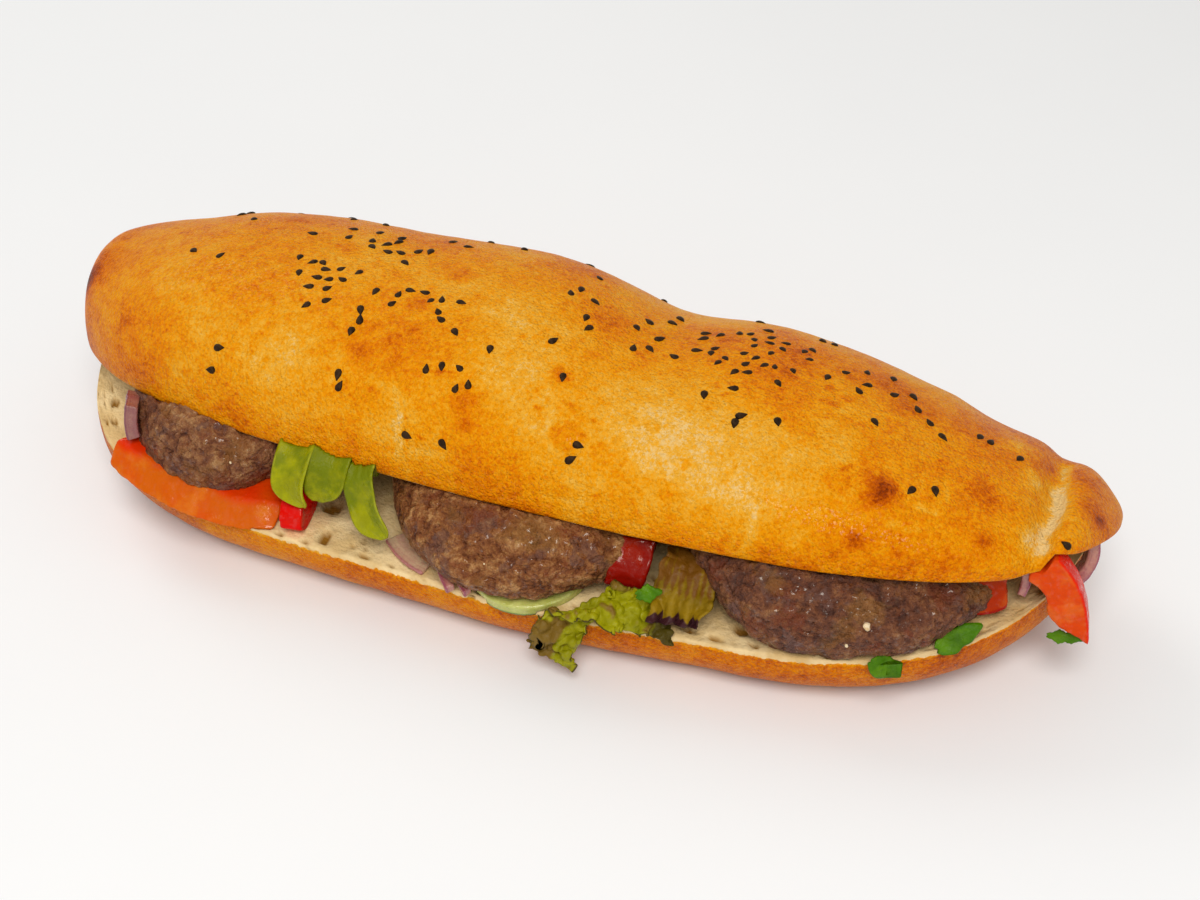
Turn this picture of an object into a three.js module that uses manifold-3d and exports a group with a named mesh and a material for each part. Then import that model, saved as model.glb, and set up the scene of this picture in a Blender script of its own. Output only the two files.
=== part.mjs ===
// A half kofta sandwich: a short soft roll, slit along its front and round both ends, hinged at the back
// and filled with three kofta patties, tomato, lettuce, red onion, cucumber and parsley.
// Millimetres. X runs along the roll, Y to its uncut back, Z up; it lies on its flat base at Z = 0.
import * as THREE from "three";
import { mergeVertices } from "three/addons/utils/BufferGeometryUtils.js";
import Module from "manifold-3d";

const wasm = await Module();
wasm.setup();

// ---------------------------------------------------------------- driving dimensions
const HALF_LENGTH = 141;
const ORIGIN = [0, 0.34, 0]; // puts the middle of the whole at X = Y = 0

// Profiles of the roll along its length. s runs from -1 (left tip) to 1 (right tip):
// middle value, skew (per s), bow (per s squared), fullness of each end, value at each tip.
const PROFILE = {
  back: { middle: 51, skew: -7, bow: -4, full: [3.4, 3.2], tip: [24, 15] },
  lipY: { middle: -35.5, skew: -4.5, bow: 8, full: [6.4, 5.4], tip: [22, 12] },
  rimY: { middle: -45.3, skew: -3.8, bow: 4.6, full: [7, 4.2], tip: [14, 20] },
  backZ: { middle: 30, skew: -1, bow: 0, full: [4, 4], tip: [33, 30] },
  lipZ: { middle: 37, skew: 0.5, bow: 4, full: [4.2, 5.4], tip: [27, 33] },
  rimZ: { middle: 16.5, skew: -0.6, bow: 3.6, full: [6, 4.3], tip: [30, 29] },
  crown: { middle: 65.5, skew: -9.5, bow: -4, full: [3.4, 3.3], tip: [38, 33] },
  base: { middle: -1.2, skew: 0, bow: 0, full: [5.4, 4], tip: [28, 27] },
};
const END_FULL = 3.4; // fullness of the plan at both ends
const LOWER_SHORT = [8, 6]; // the lower half is this much shorter at each end
const LEAST_SLOT = 1.2; // the cut never closes more than this between its lips
const HINGE_WIDTH = 14; // uncut crumb along the back
const HINGE_GAP = 2; // half the height of the cut at the hinge
const UPPER_ARCH = 9; // the upper cut face arches over the filling
const LOWER_SAG = 2; // the lower one is pressed down
const UNDER_DEPTH = 1.15; // the under crust is rounded a little deeper than its flat base, which cuts it off
const UNDER_SQUARE = 0.85; // 1 is an ellipse, less is squarer

// Swells and creases of the crust: x, turn (0 at the back, 1 at the lip), reach in x and turn, height.
const RELIEF = [
  { x: -14, turn: 0.35, reachX: 22, reachTurn: 0.3, height: 2.4 },
  { x: 24, turn: 0.35, reachX: 17, reachTurn: 0.3, height: -3.6 },
  { x: 60, turn: 0.3, reachX: 30, reachTurn: 0.3, height: 1.2 },
  { x: 124, turn: 0.62, reachX: 3.2, reachTurn: 0.5, height: -3 },
  { x: 133, turn: 0.6, reachX: 6, reachTurn: 0.8, height: 3.3 },
  { x: 107, turn: 0.25, reachX: 8, reachTurn: 0.14, height: -1.6 },
  { x: -112, turn: 0.3, reachX: 14, reachTurn: 0.3, height: -1.5 },
  { x: -135, turn: 0.62, reachX: 6, reachTurn: 0.25, height: 4.6 },
];
// The lip is drawn up over the slices that stick out of the right end.
const LIP_LIFT = { from: 124.5, to: 128, up: 7, back: 0.8 };
// The rim of the lower half runs in and out a little: x, reach, how far it stands out.
const RIM_WAVES = [
  { x: 0, reach: 16, out: 1.2 },
  { x: 50, reach: 24, out: -1.4 },
];

// Rings along the roll and steps round each of them.
const RINGS = 39;
const FIRST_RING = 0.11; // radians from the tip
const STEPS = { dome: 17, upperCut: 5, lowerCut: 5, under: 11 };

// Black seeds, fused to the crust: half sizes, how much they narrow towards one end, how deep they sit,
// and how far apart their middles stay.
const SEED = { long: 1.6, wide: 1, high: 0.62, taper: 0.3, sunk: 0.1, apart: 2.7, draw: 286, mostTries: 400 };
// They fell in loose groups: middle in x and turn, usual distance from it in each, and how many.
const SEED_GROUPS = [
  { x: -100, turn: 0.6, spreadX: 6, spreadTurn: 0.11, count: 5 },
  { x: -82.5, turn: 0.81, spreadX: 1, spreadTurn: 0.06, count: 2 },
  { x: -60, turn: 0.44, spreadX: 8, spreadTurn: 0.04, count: 13 },
  { x: -58, turn: 0.565, spreadX: 6, spreadTurn: 0.035, count: 16 },
  { x: -47, turn: 0.65, spreadX: 0.6, spreadTurn: 0.02, count: 2 },
  { x: -47.8, turn: 0.786, spreadX: 0.8, spreadTurn: 0.01, count: 2 },
  { x: -34, turn: 0.565, spreadX: 5, spreadTurn: 0.02, count: 9 },
  { x: -37, turn: 0.41, spreadX: 4, spreadTurn: 0.04, count: 3 },
  { x: -15, turn: 0.69, spreadX: 9, spreadTurn: 0.035, count: 7 },
  { x: -23, turn: 0.877, spreadX: 5, spreadTurn: 0.005, count: 2 },
  { x: 20, turn: 0.81, spreadX: 5, spreadTurn: 0.015, count: 2 },
  { x: 3, turn: 0.51, spreadX: 5, spreadTurn: 0.06, count: 8 },
  { x: 31, turn: 0.47, spreadX: 7, spreadTurn: 0.05, count: 15 },
  { x: 48, turn: 0.44, spreadX: 7, spreadTurn: 0.06, count: 24 },
  { x: 51, turn: 0.62, spreadX: 5, spreadTurn: 0.035, count: 4 },
  { x: 84, turn: 0.43, spreadX: 7, spreadTurn: 0.05, count: 11 },
  { x: 106, turn: 0.435, spreadX: 5, spreadTurn: 0.015, count: 3 },
  { x: 95.3, turn: 0.666, spreadX: 1.8, spreadTurn: 0.01, count: 2 },
  { x: 130, turn: 0.855, spreadX: 0.2, spreadTurn: 0.005, count: 1 },
  { x: -30, turn: 0.27, spreadX: 30, spreadTurn: 0.04, count: 7 },
  { x: 50, turn: 0.27, spreadX: 22, spreadTurn: 0.04, count: 6 },
]; // the last two lie on the back

// Patties: centre, size, turn in plan (degrees), and the draw of their lumps.
const PATTY = {
  left: { centre: [-84, -14, 34], size: [50, 50, 22], turn: 0, draw: 11 },
  middle: { centre: [-2, -20.3, 30], size: [67, 54, 25], turn: -10, draw: 12 },
  right: { centre: [77.5, -16.5, 30.5], size: [69, 54, 25], turn: 8, draw: 13 },
};
const PATTY_NOSE_DOWN = 15; // degrees: each patty's front edge lies low on the lower half
const PATTY_SQUARE = [0.9, 0.9, 0.8]; // 1 is an ellipsoid, less is squarer
const LUMPS = { count: 46, reach: 0.3, height: 0.07, detail: 4 };

const LEAF_ROUND = 0.3; // share of a leaf over which its tip is rounded off

const CLEARANCE = 0.5; // neighbours are cut back by this much, which leaves about 0.3 between facets

const LOOK = {
  crust: { color: 0xd99a2e, roughness: 0.45 },
  kofta: { color: 0x6b4a3c, roughness: 0.7 },
  tomato: { color: 0xd8301a, roughness: 0.3 },
  lettuce: { color: 0x86b52c, roughness: 0.45 },
  redLettuce: { color: 0x8a8a2c, roughness: 0.5 },
  onion: { color: 0xd8aeb2, roughness: 0.35 },
  cucumber: { color: 0xb9cc7a, roughness: 0.35 },
  parsley: { color: 0x3c8a24, roughness: 0.5 },
};

// ---------------------------------------------------------------- small helpers
const radians = THREE.MathUtils.degToRad;
const signedPower = (value, power) => Math.sign(value) * Math.abs(value) ** power;
const steps = (count) => Array.from({ length: count + 1 }, (_, i) => i / count);

function randomDraws(seed) {
  let state = seed * 7919 + 17;
  const next = () => {
    state = (state * 16807) % 2147483647;
    return state / 2147483647;
  };
  for (let i = 0; i < 5; i += 1) next();
  return next;
}

function bare(geometry) {
  const copy = geometry.index ? geometry.toNonIndexed() : geometry.clone();
  copy.deleteAttribute("normal");
  copy.deleteAttribute("uv");
  return mergeVertices(copy, 1e-4);
}

function geometryOf(points, faces) {
  const geometry = new THREE.BufferGeometry();
  geometry.setAttribute("position", new THREE.Float32BufferAttribute(points.flat(), 3));
  geometry.setIndex(faces.flat());
  return geometry;
}

function bend(geometry, move) {
  const place = geometry.attributes.position;
  const point = new THREE.Vector3();
  for (let i = 0; i < place.count; i += 1) {
    point.fromBufferAttribute(place, i);
    place.setXYZ(i, ...move(point));
  }
  return geometry;
}

function solid(geometry) {
  const merged = bare(geometry);
  const vertProperties = new Float32Array(merged.attributes.position.array);
  const triVerts = new Uint32Array(merged.index.array);
  return new wasm.Manifold(new wasm.Mesh({ numProp: 3, vertProperties, triVerts }));
}

function grown(geometry, distance = CLEARANCE) {
  const merged = bare(geometry);
  merged.computeVertexNormals();
  const place = merged.attributes.position;
  const normal = merged.attributes.normal;
  for (let i = 0; i < place.count; i += 1) {
    place.setXYZ(
      i,
      place.getX(i) + normal.getX(i) * distance,
      place.getY(i) + normal.getY(i) * distance,
      place.getZ(i) + normal.getZ(i) * distance,
    );
  }
  return solid(merged);
}

function geometryFrom(manifold) {
  const { vertProperties, triVerts, numProp } = manifold.getMesh();
  const places = [];
  for (let i = 0; i < vertProperties.length; i += numProp) {
    places.push(vertProperties[i], vertProperties[i + 1], vertProperties[i + 2]);
  }
  const geometry = new THREE.BufferGeometry();
  geometry.setAttribute("position", new THREE.Float32BufferAttribute(places, 3));
  geometry.setIndex(Array.from(triVerts));
  return geometry;
}

// Cutting can leave scraps: only the largest body is kept.
function largest(manifold) {
  const bodies = manifold.decompose();
  bodies.sort((a, b) => b.volume() - a.volume());
  return bodies[0];
}

function cutBy(geometry, neighbours) {
  const left = neighbours.reduce((body, other) => body.subtract(other), solid(geometry));
  return geometryFrom(largest(left));
}

// ---------------------------------------------------------------- the roll's form
// 1 in the middle of the roll, rounding off to 0 at its tips.
function endRound(s, full) {
  const power = Array.isArray(full) ? full[s < 0 ? 0 : 1] : full;
  return Math.sqrt(Math.max(0, 1 - Math.abs(s) ** power));
}

function profile(name, s) {
  const { middle, skew, bow, full, tip } = PROFILE[name];
  const end = tip[s < 0 ? 0 : 1];
  return end + (middle + skew * s + bow * s * s - end) * endRound(s, full);
}

function relief(x, turn) {
  let height = 0;
  for (const swell of RELIEF) {
    const across = ((x - swell.x) / swell.reachX) ** 2 + ((turn - swell.turn) / swell.reachTurn) ** 2;
    height += swell.height * Math.exp(-across);
  }
  return height;
}

function rollProfiles(s) {
  const at = {};
  for (const name of Object.keys(PROFILE)) at[name] = profile(name, s);
  const lift = THREE.MathUtils.smoothstep(s * HALF_LENGTH, LIP_LIFT.from, LIP_LIFT.to);
  const fade = Math.min(1, 1.6 * endRound(s, END_FULL));
  at.lipZ += LIP_LIFT.up * lift * fade;
  at.lipY += LIP_LIFT.back * lift * fade;
  at.lipZ = Math.max(at.lipZ, at.rimZ + LEAST_SLOT);
  for (const { x, reach, out } of RIM_WAVES) {
    at.rimY -= out * fade * Math.exp(-(((s * HALF_LENGTH - x) / reach) ** 2));
  }
  at.round = endRound(s, END_FULL);
  at.short = LOWER_SHORT[s < 0 ? 0 : 1];
  return at;
}

// A point of the crust over the filling: turn 0 is at the back, 1 at the lip.
function domePoint(s, turn, at = rollProfiles(s)) {
  const angle = turn * Math.PI;
  const swell = relief(s * HALF_LENGTH, turn) * Math.min(1, 1.6 * at.round);
  const middleY = (at.back + at.lipY) / 2;
  const reachY = (at.back - at.lipY) / 2;
  const rise = at.crown - (at.backZ + at.lipZ) / 2;
  const y = middleY + reachY * signedPower(Math.cos(angle), 0.9) + swell * Math.cos(angle);
  const z = at.backZ + (at.lipZ - at.backZ) * turn + rise * signedPower(Math.sin(angle), 0.85);
  return [s * HALF_LENGTH, y, z + swell * Math.sin(angle)];
}

function upperCutPoint(s, t, at) {
  const [x, lipY, lipZ] = domePoint(s, 1, at);
  const hingeY = at.back - HINGE_WIDTH * at.round;
  const hingeZ = at.backZ + HINGE_GAP * at.round;
  const arch = UPPER_ARCH * at.round * Math.sin(Math.PI * t);
  return [x, lipY + (hingeY - lipY) * t, lipZ + (hingeZ - lipZ) * t + arch];
}

function lowerCutPoint(s, t, at) {
  const hingeY = at.back - HINGE_WIDTH * at.round;
  const hingeZ = at.backZ - HINGE_GAP * at.round;
  const sag = LOWER_SAG * at.round * Math.sin(Math.PI * t);
  return [
    s * (HALF_LENGTH - at.short * t),
    hingeY + (at.rimY - hingeY) * t,
    hingeZ + (at.rimZ - hingeZ) * t - sag,
  ];
}

function underPoint(s, t, at) {
  const angle = t * Math.PI;
  const middleY = (at.rimY + at.back) / 2;
  const y = middleY - ((at.back - at.rimY) / 2) * signedPower(Math.cos(angle), 0.8);
  const edgeZ = at.rimZ + (at.backZ - at.rimZ) * t;
  const depth = ((at.rimZ + at.backZ) / 2 - at.base) * UNDER_DEPTH;
  const z = Math.max(edgeZ - depth * signedPower(Math.sin(angle), UNDER_SQUARE), at.base, 0);
  return [s * (HALF_LENGTH - at.short * (1 - t)), y, z];
}

// One closed ring round the C-shaped section, from the back over the dome and through the cut.
function rollRing(s) {
  const at = rollProfiles(s);
  const dome = steps(STEPS.dome).map((t) => domePoint(s, t, at));
  const upper = steps(STEPS.upperCut).slice(1).map((t) => upperCutPoint(s, t, at));
  const lower = steps(STEPS.lowerCut).map((t) => lowerCutPoint(s, t, at));
  const under = steps(STEPS.under).slice(1, -1).map((t) => underPoint(s, t, at));
  return [...dome, ...upper, ...lower, ...under];
}

function rollGeometry() {
  const rings = steps(RINGS).map((t) => {
    const angle = FIRST_RING + t * (Math.PI - 2 * FIRST_RING);
    return rollRing(-Math.cos(angle));
  });
  const size = rings[0].length;
  const faces = [];
  for (let i = 0; i + 1 < rings.length; i += 1) {
    for (let j = 0; j < size; j += 1) {
      const a = i * size + j;
      const b = i * size + ((j + 1) % size);
      faces.push([a, b, a + size], [b, b + size, a + size]);
    }
  }
  const last = (rings.length - 1) * size;
  const flat = (ring) => ring.map(([, y, z]) => new THREE.Vector2(y, z));
  for (const [a, b, c] of THREE.ShapeUtils.triangulateShape(flat(rings[0]), [])) {
    faces.push([a, c, b]);
  }
  for (const [a, b, c] of THREE.ShapeUtils.triangulateShape(flat(rings.at(-1)), [])) {
    faces.push([last + a, last + b, last + c]);
  }
  return geometryOf(rings.flat(), faces);
}

// ---------------------------------------------------------------- seeds on the crust
function seedPlaces() {
  const draw = randomDraws(SEED.draw);
  const spread = () => 2 * (draw() + draw() + draw() - 1.5);
  const places = [];
  for (const group of SEED_GROUPS) {
    let placedHere = 0;
    for (let tries = 0; tries < SEED.mostTries && placedHere < group.count; tries += 1) {
      const x = group.x + group.spreadX * spread();
      const turn = group.turn + group.spreadTurn * spread();
      const yaw = 2 * Math.PI * draw();
      const point = new THREE.Vector3(...domePoint(x / HALF_LENGTH, turn));
      if (places.every((other) => other.point.distanceTo(point) > SEED.apart)) {
        places.push({ x, turn, yaw, point });
        placedHere += 1;
      }
    }
  }
  return places;
}

function seedGeometry({ x, turn, yaw, point }) {
  const step = 0.004; // of s and of turn
  const along = new THREE.Vector3(...domePoint(x / HALF_LENGTH + step, turn)).sub(point);
  const round = new THREE.Vector3(...domePoint(x / HALF_LENGTH, turn + step)).sub(point);
  const up = new THREE.Vector3().crossVectors(round, along).normalize();
  along.normalize();
  const side = new THREE.Vector3().crossVectors(up, along);
  const frame = new THREE.Matrix4().makeBasis(along, side, up);
  const geometry = bare(new THREE.SphereGeometry(1, 6, 2)).rotateX(Math.PI / 2);
  bend(geometry, ({ x: u, y: v, z: w }) => {
    const taper = 1 - SEED.taper * u;
    return [u * SEED.long, v * SEED.wide * taper, w * SEED.high * taper];
  });
  geometry.rotateZ(yaw);
  geometry.applyMatrix4(frame);
  const sunk = point.clone().addScaledVector(up, -SEED.sunk);
  return geometry.translate(sunk.x, sunk.y, sunk.z);
}

// ---------------------------------------------------------------- fillings
// A hand-shaped patty: a flattened round with lumps of coarse mince pushed out of it.
function pattyGeometry({ centre, size, turn, draw: seed }) {
  const draw = randomDraws(seed);
  const lumps = steps(LUMPS.count - 1).map(() => {
    const high = 2 * draw() - 1;
    const angle = 2 * Math.PI * draw();
    const wide = Math.sqrt(1 - high * high);
    return {
      towards: new THREE.Vector3(wide * Math.cos(angle), wide * Math.sin(angle), high * 0.6).normalize(),
      reach: LUMPS.reach * (0.6 + 0.8 * draw()),
      height: LUMPS.height * (1.6 * draw() - 0.6),
    };
  });
  const geometry = bare(new THREE.IcosahedronGeometry(1, LUMPS.detail));
  bend(geometry, (point) => {
    const towards = point.clone().normalize();
    let radius = 1;
    for (const lump of lumps) {
      const away = towards.angleTo(lump.towards) / lump.reach;
      radius += lump.height * Math.exp(-away * away);
    }
    return towards.toArray().map((way, i) => (signedPower(way, PATTY_SQUARE[i]) * radius * size[i]) / 2);
  });
  geometry.rotateX(radians(PATTY_NOSE_DOWN));
  geometry.rotateZ(radians(turn));
  return geometry.translate(...centre);
}

// A flat outline given a thickness about its own plane, with its edges eased.
function plate(shape, thickness, ease = 0.5, curveSegments = 6) {
  const geometry = new THREE.ExtrudeGeometry(shape, {
    depth: thickness - 2 * ease,
    bevelThickness: ease,
    bevelSize: ease,
    bevelOffset: -ease,
    bevelSegments: 1,
    curveSegments,
    steps: 1,
  });
  return geometry.translate(0, 0, ease - thickness / 2);
}

function roundShape(radius) {
  const shape = new THREE.Shape();
  shape.absarc(0, 0, radius, 0, 2 * Math.PI, false);
  return shape;
}

// A piece of a tomato slice: its skin is the arc between two directions (degrees), and the knife
// left a straight edge behind it, at depth back from the slice's middle.
function tomatoShape(radiusX, radiusY, from, to, back) {
  const shape = new THREE.Shape();
  const at = (angle) => [radiusX * Math.cos(radians(angle)), radiusY * Math.sin(radians(angle))];
  shape.moveTo(...at(from));
  shape.absellipse(0, 0, radiusX, radiusY, radians(from), radians(to), false);
  shape.lineTo(at(to)[0] * 0.9, back);
  shape.lineTo(at(from)[0] * 0.7, back);
  shape.closePath();
  return shape;
}

// Draws the arc of a slice's upper side in, so that its cut edge leans back.
function leantBack(geometry, [radiusX, radiusY], thickness, share) {
  return bend(geometry, ({ x, y, z }) => {
    const out = Math.hypot(x / radiusX, y / radiusY);
    const high = z / thickness + 0.5;
    return [x, y * (1 - share * THREE.MathUtils.smoothstep(out, 0.7, 1) * high), z];
  });
}

// Leans a placed piece along the roll, the more the higher it is above the given height.
function leantAside(geometry, height, share) {
  return bend(geometry, ({ x, y, z }) => [x + share * (z - height), y, z]);
}

// The wedge that hangs out of the right end: skin on its right, flesh to the front.
function hangingWedgeShape() {
  const shape = new THREE.Shape();
  shape.moveTo(-3, 11.5);
  shape.quadraticCurveTo(6, 4, 7.5, -12);
  shape.lineTo(1.5, -8.8);
  shape.quadraticCurveTo(-4.5, -6, -4, -1);
  shape.quadraticCurveTo(-5.5, 2.5, -9, 4);
  shape.lineTo(-9, 9);
  shape.closePath();
  return shape;
}

function arcShape(radius, width, from, to) {
  const shape = new THREE.Shape();
  shape.absarc(0, 0, radius, radians(from), radians(to), false);
  shape.absarc(0, 0, radius - width, radians(to), radians(from), true);
  shape.closePath();
  return shape;
}

function leafShape(length, width, lobes) {
  const shape = new THREE.Shape();
  const count = 9;
  for (let side = 0; side < 2; side += 1) {
    for (let i = 0; i < count; i += 1) {
      const t = side ? 1 - i / count : i / count;
      const scallop = 1 + 0.18 * Math.cos(t * lobes * 2 * Math.PI);
      const half = (width / 2) * Math.sin(Math.PI * t ** 0.8) ** 0.9 * scallop;
      const point = [t * length, (side ? 1 : -1) * half];
      if (i === 0 && side === 0) shape.moveTo(...point);
      else shape.lineTo(...point);
    }
  }
  shape.closePath();
  return shape;
}

function placed(geometry, centre, tilt = [0, 0, 0]) {
  geometry.applyMatrix4(
    new THREE.Matrix4().makeRotationFromEuler(new THREE.Euler(...tilt.map(radians), "ZYX")),
  );
  return geometry.translate(...centre);
}

// A leaf that lies along a spine from deep in the cut to its free tip, as a thin wavy solid.
// width(u) is its half width, of which tip is left at its end; the ruffle grows from midrib to edge.
function leafGeometry(leaf) {
  const { spine, across, width, tip = 0.25, cup, ruffle, waves, thickness, cells, draw: seed } = leaf;
  const curve = new THREE.CatmullRomCurve3(spine.map((point) => new THREE.Vector3(...point)));
  const [rootSide, tipSide] = across.map((direction) => new THREE.Vector3(...direction));
  const phase = randomDraws(seed)() * Math.PI * 2;
  const [rows, columns] = cells;
  const sheet = [];
  for (let i = 0; i <= rows; i += 1) {
    const u = i / rows;
    const centre = curve.getPoint(u);
    const along = curve.getTangent(u);
    const side = rootSide.clone().lerp(tipSide, u).normalize();
    const up = new THREE.Vector3().crossVectors(side, along).normalize();
    const end = Math.max(0, (u - 1 + LEAF_ROUND) / LEAF_ROUND);
    const narrow = Math.max(tip, Math.sqrt(1 - end * end));
    const row = [];
    for (let j = 0; j <= columns; j += 1) {
      const v = (2 * j) / columns - 1;
      const edge = v * narrow;
      const wave = ruffle * edge * edge * Math.sin(waves * Math.PI * u + phase + (v > 0 ? 1.3 : 0));
      const drift = ruffle * 0.5 * (1 - v * v) * Math.sin(0.6 * waves * Math.PI * u + 2 * phase);
      row.push(
        centre
          .clone()
          .addScaledVector(side, width(u) * edge)
          .addScaledVector(up, wave + drift - cup * edge * edge),
      );
    }
    sheet.push(row);
  }
  return sheetSolid(sheet, thickness);
}

// Both faces of a sheet of points are split into triangles alike and joined round the edge.
function sheetSolid(sheet, thickness) {
  const rows = sheet.length;
  const columns = sheet[0].length;
  const normalAt = (i, j) => {
    const down = sheet[Math.min(i + 1, rows - 1)][j].clone().sub(sheet[Math.max(i - 1, 0)][j]);
    const over = sheet[i][Math.min(j + 1, columns - 1)].clone().sub(sheet[i][Math.max(j - 1, 0)]);
    return over.cross(down).normalize();
  };
  const points = [];
  for (const side of [0.5, -0.5]) {
    for (let i = 0; i < rows; i += 1) {
      for (let j = 0; j < columns; j += 1) {
        points.push(sheet[i][j].clone().addScaledVector(normalAt(i, j), side * thickness).toArray());
      }
    }
  }
  const faces = [];
  const under = rows * columns;
  for (let i = 0; i + 1 < rows; i += 1) {
    for (let j = 0; j + 1 < columns; j += 1) {
      const a = i * columns + j;
      const [b, c, d] = [a + 1, a + columns, a + columns + 1];
      faces.push([a, b, c], [b, d, c]);
      faces.push([under + a, under + c, under + b], [under + b, under + c, under + d]);
    }
  }
  const rim = [];
  for (let j = 0; j < columns - 1; j += 1) rim.push(j);
  for (let i = 0; i < rows - 1; i += 1) rim.push(i * columns + columns - 1);
  for (let j = columns - 1; j > 0; j -= 1) rim.push((rows - 1) * columns + j);
  for (let i = rows - 1; i > 0; i -= 1) rim.push(i * columns);
  rim.forEach((a, k) => {
    const b = rim[(k + 1) % rim.length];
    faces.push([b, a, under + a], [b, under + a, under + b]);
  });
  return geometryOf(points, faces);
}

// ---------------------------------------------------------------- the fillings' places
const tongue = (half) => (u) => half * (0.75 + 0.25 * Math.sin(Math.PI * u));

const UNDER_THE_PATTIES = ["tomato_slice_left", "cucumber_slice"];

const FILLINGS = {
  tomato_slice_left: {
    look: "tomato",
    make: () => {
      const slice = plate(tomatoShape(49, 36, 231, 292, 2), 5, 0.8, 9);
      return placed(leantBack(slice, [49, 36], 5, 0.15), [-79, -9.5, 25.5], [8, 6, 0]);
    },
  },
  cucumber_slice: {
    look: "cucumber",
    make: () => placed(plate(roundShape(15.5), 3.4, 0.5, 11), [4, -32.5, 18.6], [7, 0, 0]),
  },
  tomato_wedge_left: {
    look: "tomato",
    make: () => placed(plate(tomatoShape(11, 9, 178, 280, 3), 6, 0.8), [-57.2, -33.2, 27.2], [90, -40, 96]),
  },
  tomato_wedge_middle: {
    look: "tomato",
    make: () => {
      const wedge = plate(tomatoShape(11.5, 9, 175, 275, 3), 10, 0.8);
      return leantAside(placed(wedge, [30.3, -30, 31.4], [90, -45, 96]), 30, 0.2);
    },
  },
  tomato_wedge_right: {
    look: "tomato",
    make: () => placed(plate(tomatoShape(12, 14, 215, 305, 2), 7, 0.8), [110.5, -16, 37.5], [76, 0, 14]),
  },
  tomato_wedge_end: {
    look: "tomato",
    make: () => placed(plate(hangingWedgeShape(), 6.5, 0.9), [130.5, -15, 31], [84, 0, 6]),
  },
  lettuce_petal_left: {
    look: "lettuce",
    make: () =>
      leafGeometry({
        spine: [[-57, -14, 38], [-56, -28, 41], [-56, -36, 37.5], [-56, -39, 32], [-53, -40, 27]],
        across: [[1, -0.15, 0.1], [1, -0.1, 0.25]],
        width: tongue(5.2),
        cup: 2,
        ruffle: 0.4,
        waves: 2,
        thickness: 1,
        cells: [8, 4],
        draw: 1,
      }),
  },
  lettuce_petal_right: {
    look: "lettuce",
    make: () =>
      leafGeometry({
        spine: [[-46, -14, 39], [-46, -28, 42], [-47, -35, 38.5], [-48, -37, 33], [-50, -37.5, 28]],
        across: [[1, 0.1, 0.15], [1, 0.1, -0.1]],
        width: tongue(5.4),
        cup: 1.8,
        ruffle: 0.4,
        waves: 2,
        thickness: 1,
        cells: [8, 4],
        draw: 2,
      }),
  },
  lettuce_strip: {
    look: "lettuce",
    make: () =>
      leafGeometry({
        spine: [
          [-39, -14, 40],
          [-38.5, -28, 42],
          [-39, -36, 38],
          [-37, -38, 32],
          [-33, -41, 27.5],
          [-30, -42, 25],
        ],
        across: [[1, 0.1, 0.2], [0.8, 0, 0.6]],
        width: tongue(4.6),
        cup: 1.2,
        ruffle: 1,
        waves: 3,
        thickness: 1,
        cells: [10, 4],
        draw: 3,
      }),
  },
  red_lettuce_frill: {
    look: "redLettuce",
    make: () =>
      leafGeometry({
        spine: [
          [43, -41, 19.5],
          [35, -44, 21.5],
          [27, -44.5, 22.5],
          [20.8, -46, 20.5],
          [17.4, -49.5, 14.5],
          [15.5, -51.5, 7],
        ],
        across: [[0.2, -0.8, -0.6], [-1, 0, 0.3]],
        width: (u) => 5.6 + 2 * u ** 3,
        tip: 0.75,
        cup: 0.5,
        ruffle: 1.2,
        waves: 6,
        thickness: 1,
        cells: [17, 5],
        draw: 4,
      }),
  },
  red_lettuce_fold: {
    look: "redLettuce",
    make: () =>
      leafGeometry({
        spine: [[46, -12, 28], [46, -24, 32], [45.5, -33, 30.5], [45, -40, 26], [44, -44.5, 21]],
        across: [[1, 0.2, -0.1], [1, 0.2, -0.1]],
        width: (u) => 6.5 + 1.5 * u,
        tip: 0.8,
        cup: 1,
        ruffle: 1.5,
        waves: 5,
        thickness: 1,
        cells: [10, 6],
        draw: 5,
      }),
  },
  onion_left: {
    look: "onion",
    make: () => placed(plate(arcShape(22, 3.4, 163, 190), 9, 0.4, 4), [-87.5, -19.6, 32.6], [80, 0, 25]),
  },
  onion_petal_middle: {
    look: "onion",
    make: () => placed(plate(arcShape(26, 9, 222, 256), 1.8, 0.4, 4), [-14, -18.5, 19.3], [5, 0, 0]),
  },
  onion_strip_middle_1: {
    look: "onion",
    make: () => placed(plate(arcShape(32.5, 2.2, 204, 227), 2.4, 0.4, 4), [10.4, -25.3, 23.8], [12, 0, 0]),
  },
  onion_strip_middle_2: {
    look: "onion",
    make: () => placed(plate(arcShape(29.3, 2.2, 206, 233), 2.4, 0.4, 4), [10.4, -25.3, 23.4], [12, 0, 0]),
  },
  onion_right: {
    look: "onion",
    make: () => placed(plate(arcShape(18, 2.2, -14, 26), 6, 0.4, 4), [104.5, -12, 31], [85, 0, 0]),
  },
  onion_end: {
    look: "onion",
    make: () => placed(plate(arcShape(12, 3, -48, 34), 5, 0.4, 4), [124.5, -3.5, 34], [70, 10, 10]),
  },
  parsley_middle: {
    look: "parsley",
    make: () => placed(plate(leafShape(6.4, 4, 2), 0.8, 0.15, 2), [35, -44, 27.7], [50, -10, 20]),
  },
  parsley_right: {
    look: "parsley",
    make: () => placed(plate(leafShape(12.5, 6.5, 1), 0.8, 0.15, 2), [105, -32.6, 21.1], [40, -20, 40]),
  },
  parsley_on_crust: {
    look: "parsley",
    make: () => placed(plate(leafShape(9, 5, 0), 0.8, 0.15, 2), [90.8, -39.9, 19.8], [65, 30, 15]),
  },
  parsley_end: {
    look: "parsley",
    make: () => placed(plate(leafShape(9, 3, 3), 0.8, 0.15, 2), [128.5, -18, 19.5], [50, -4, 4]),
  },
};

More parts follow.
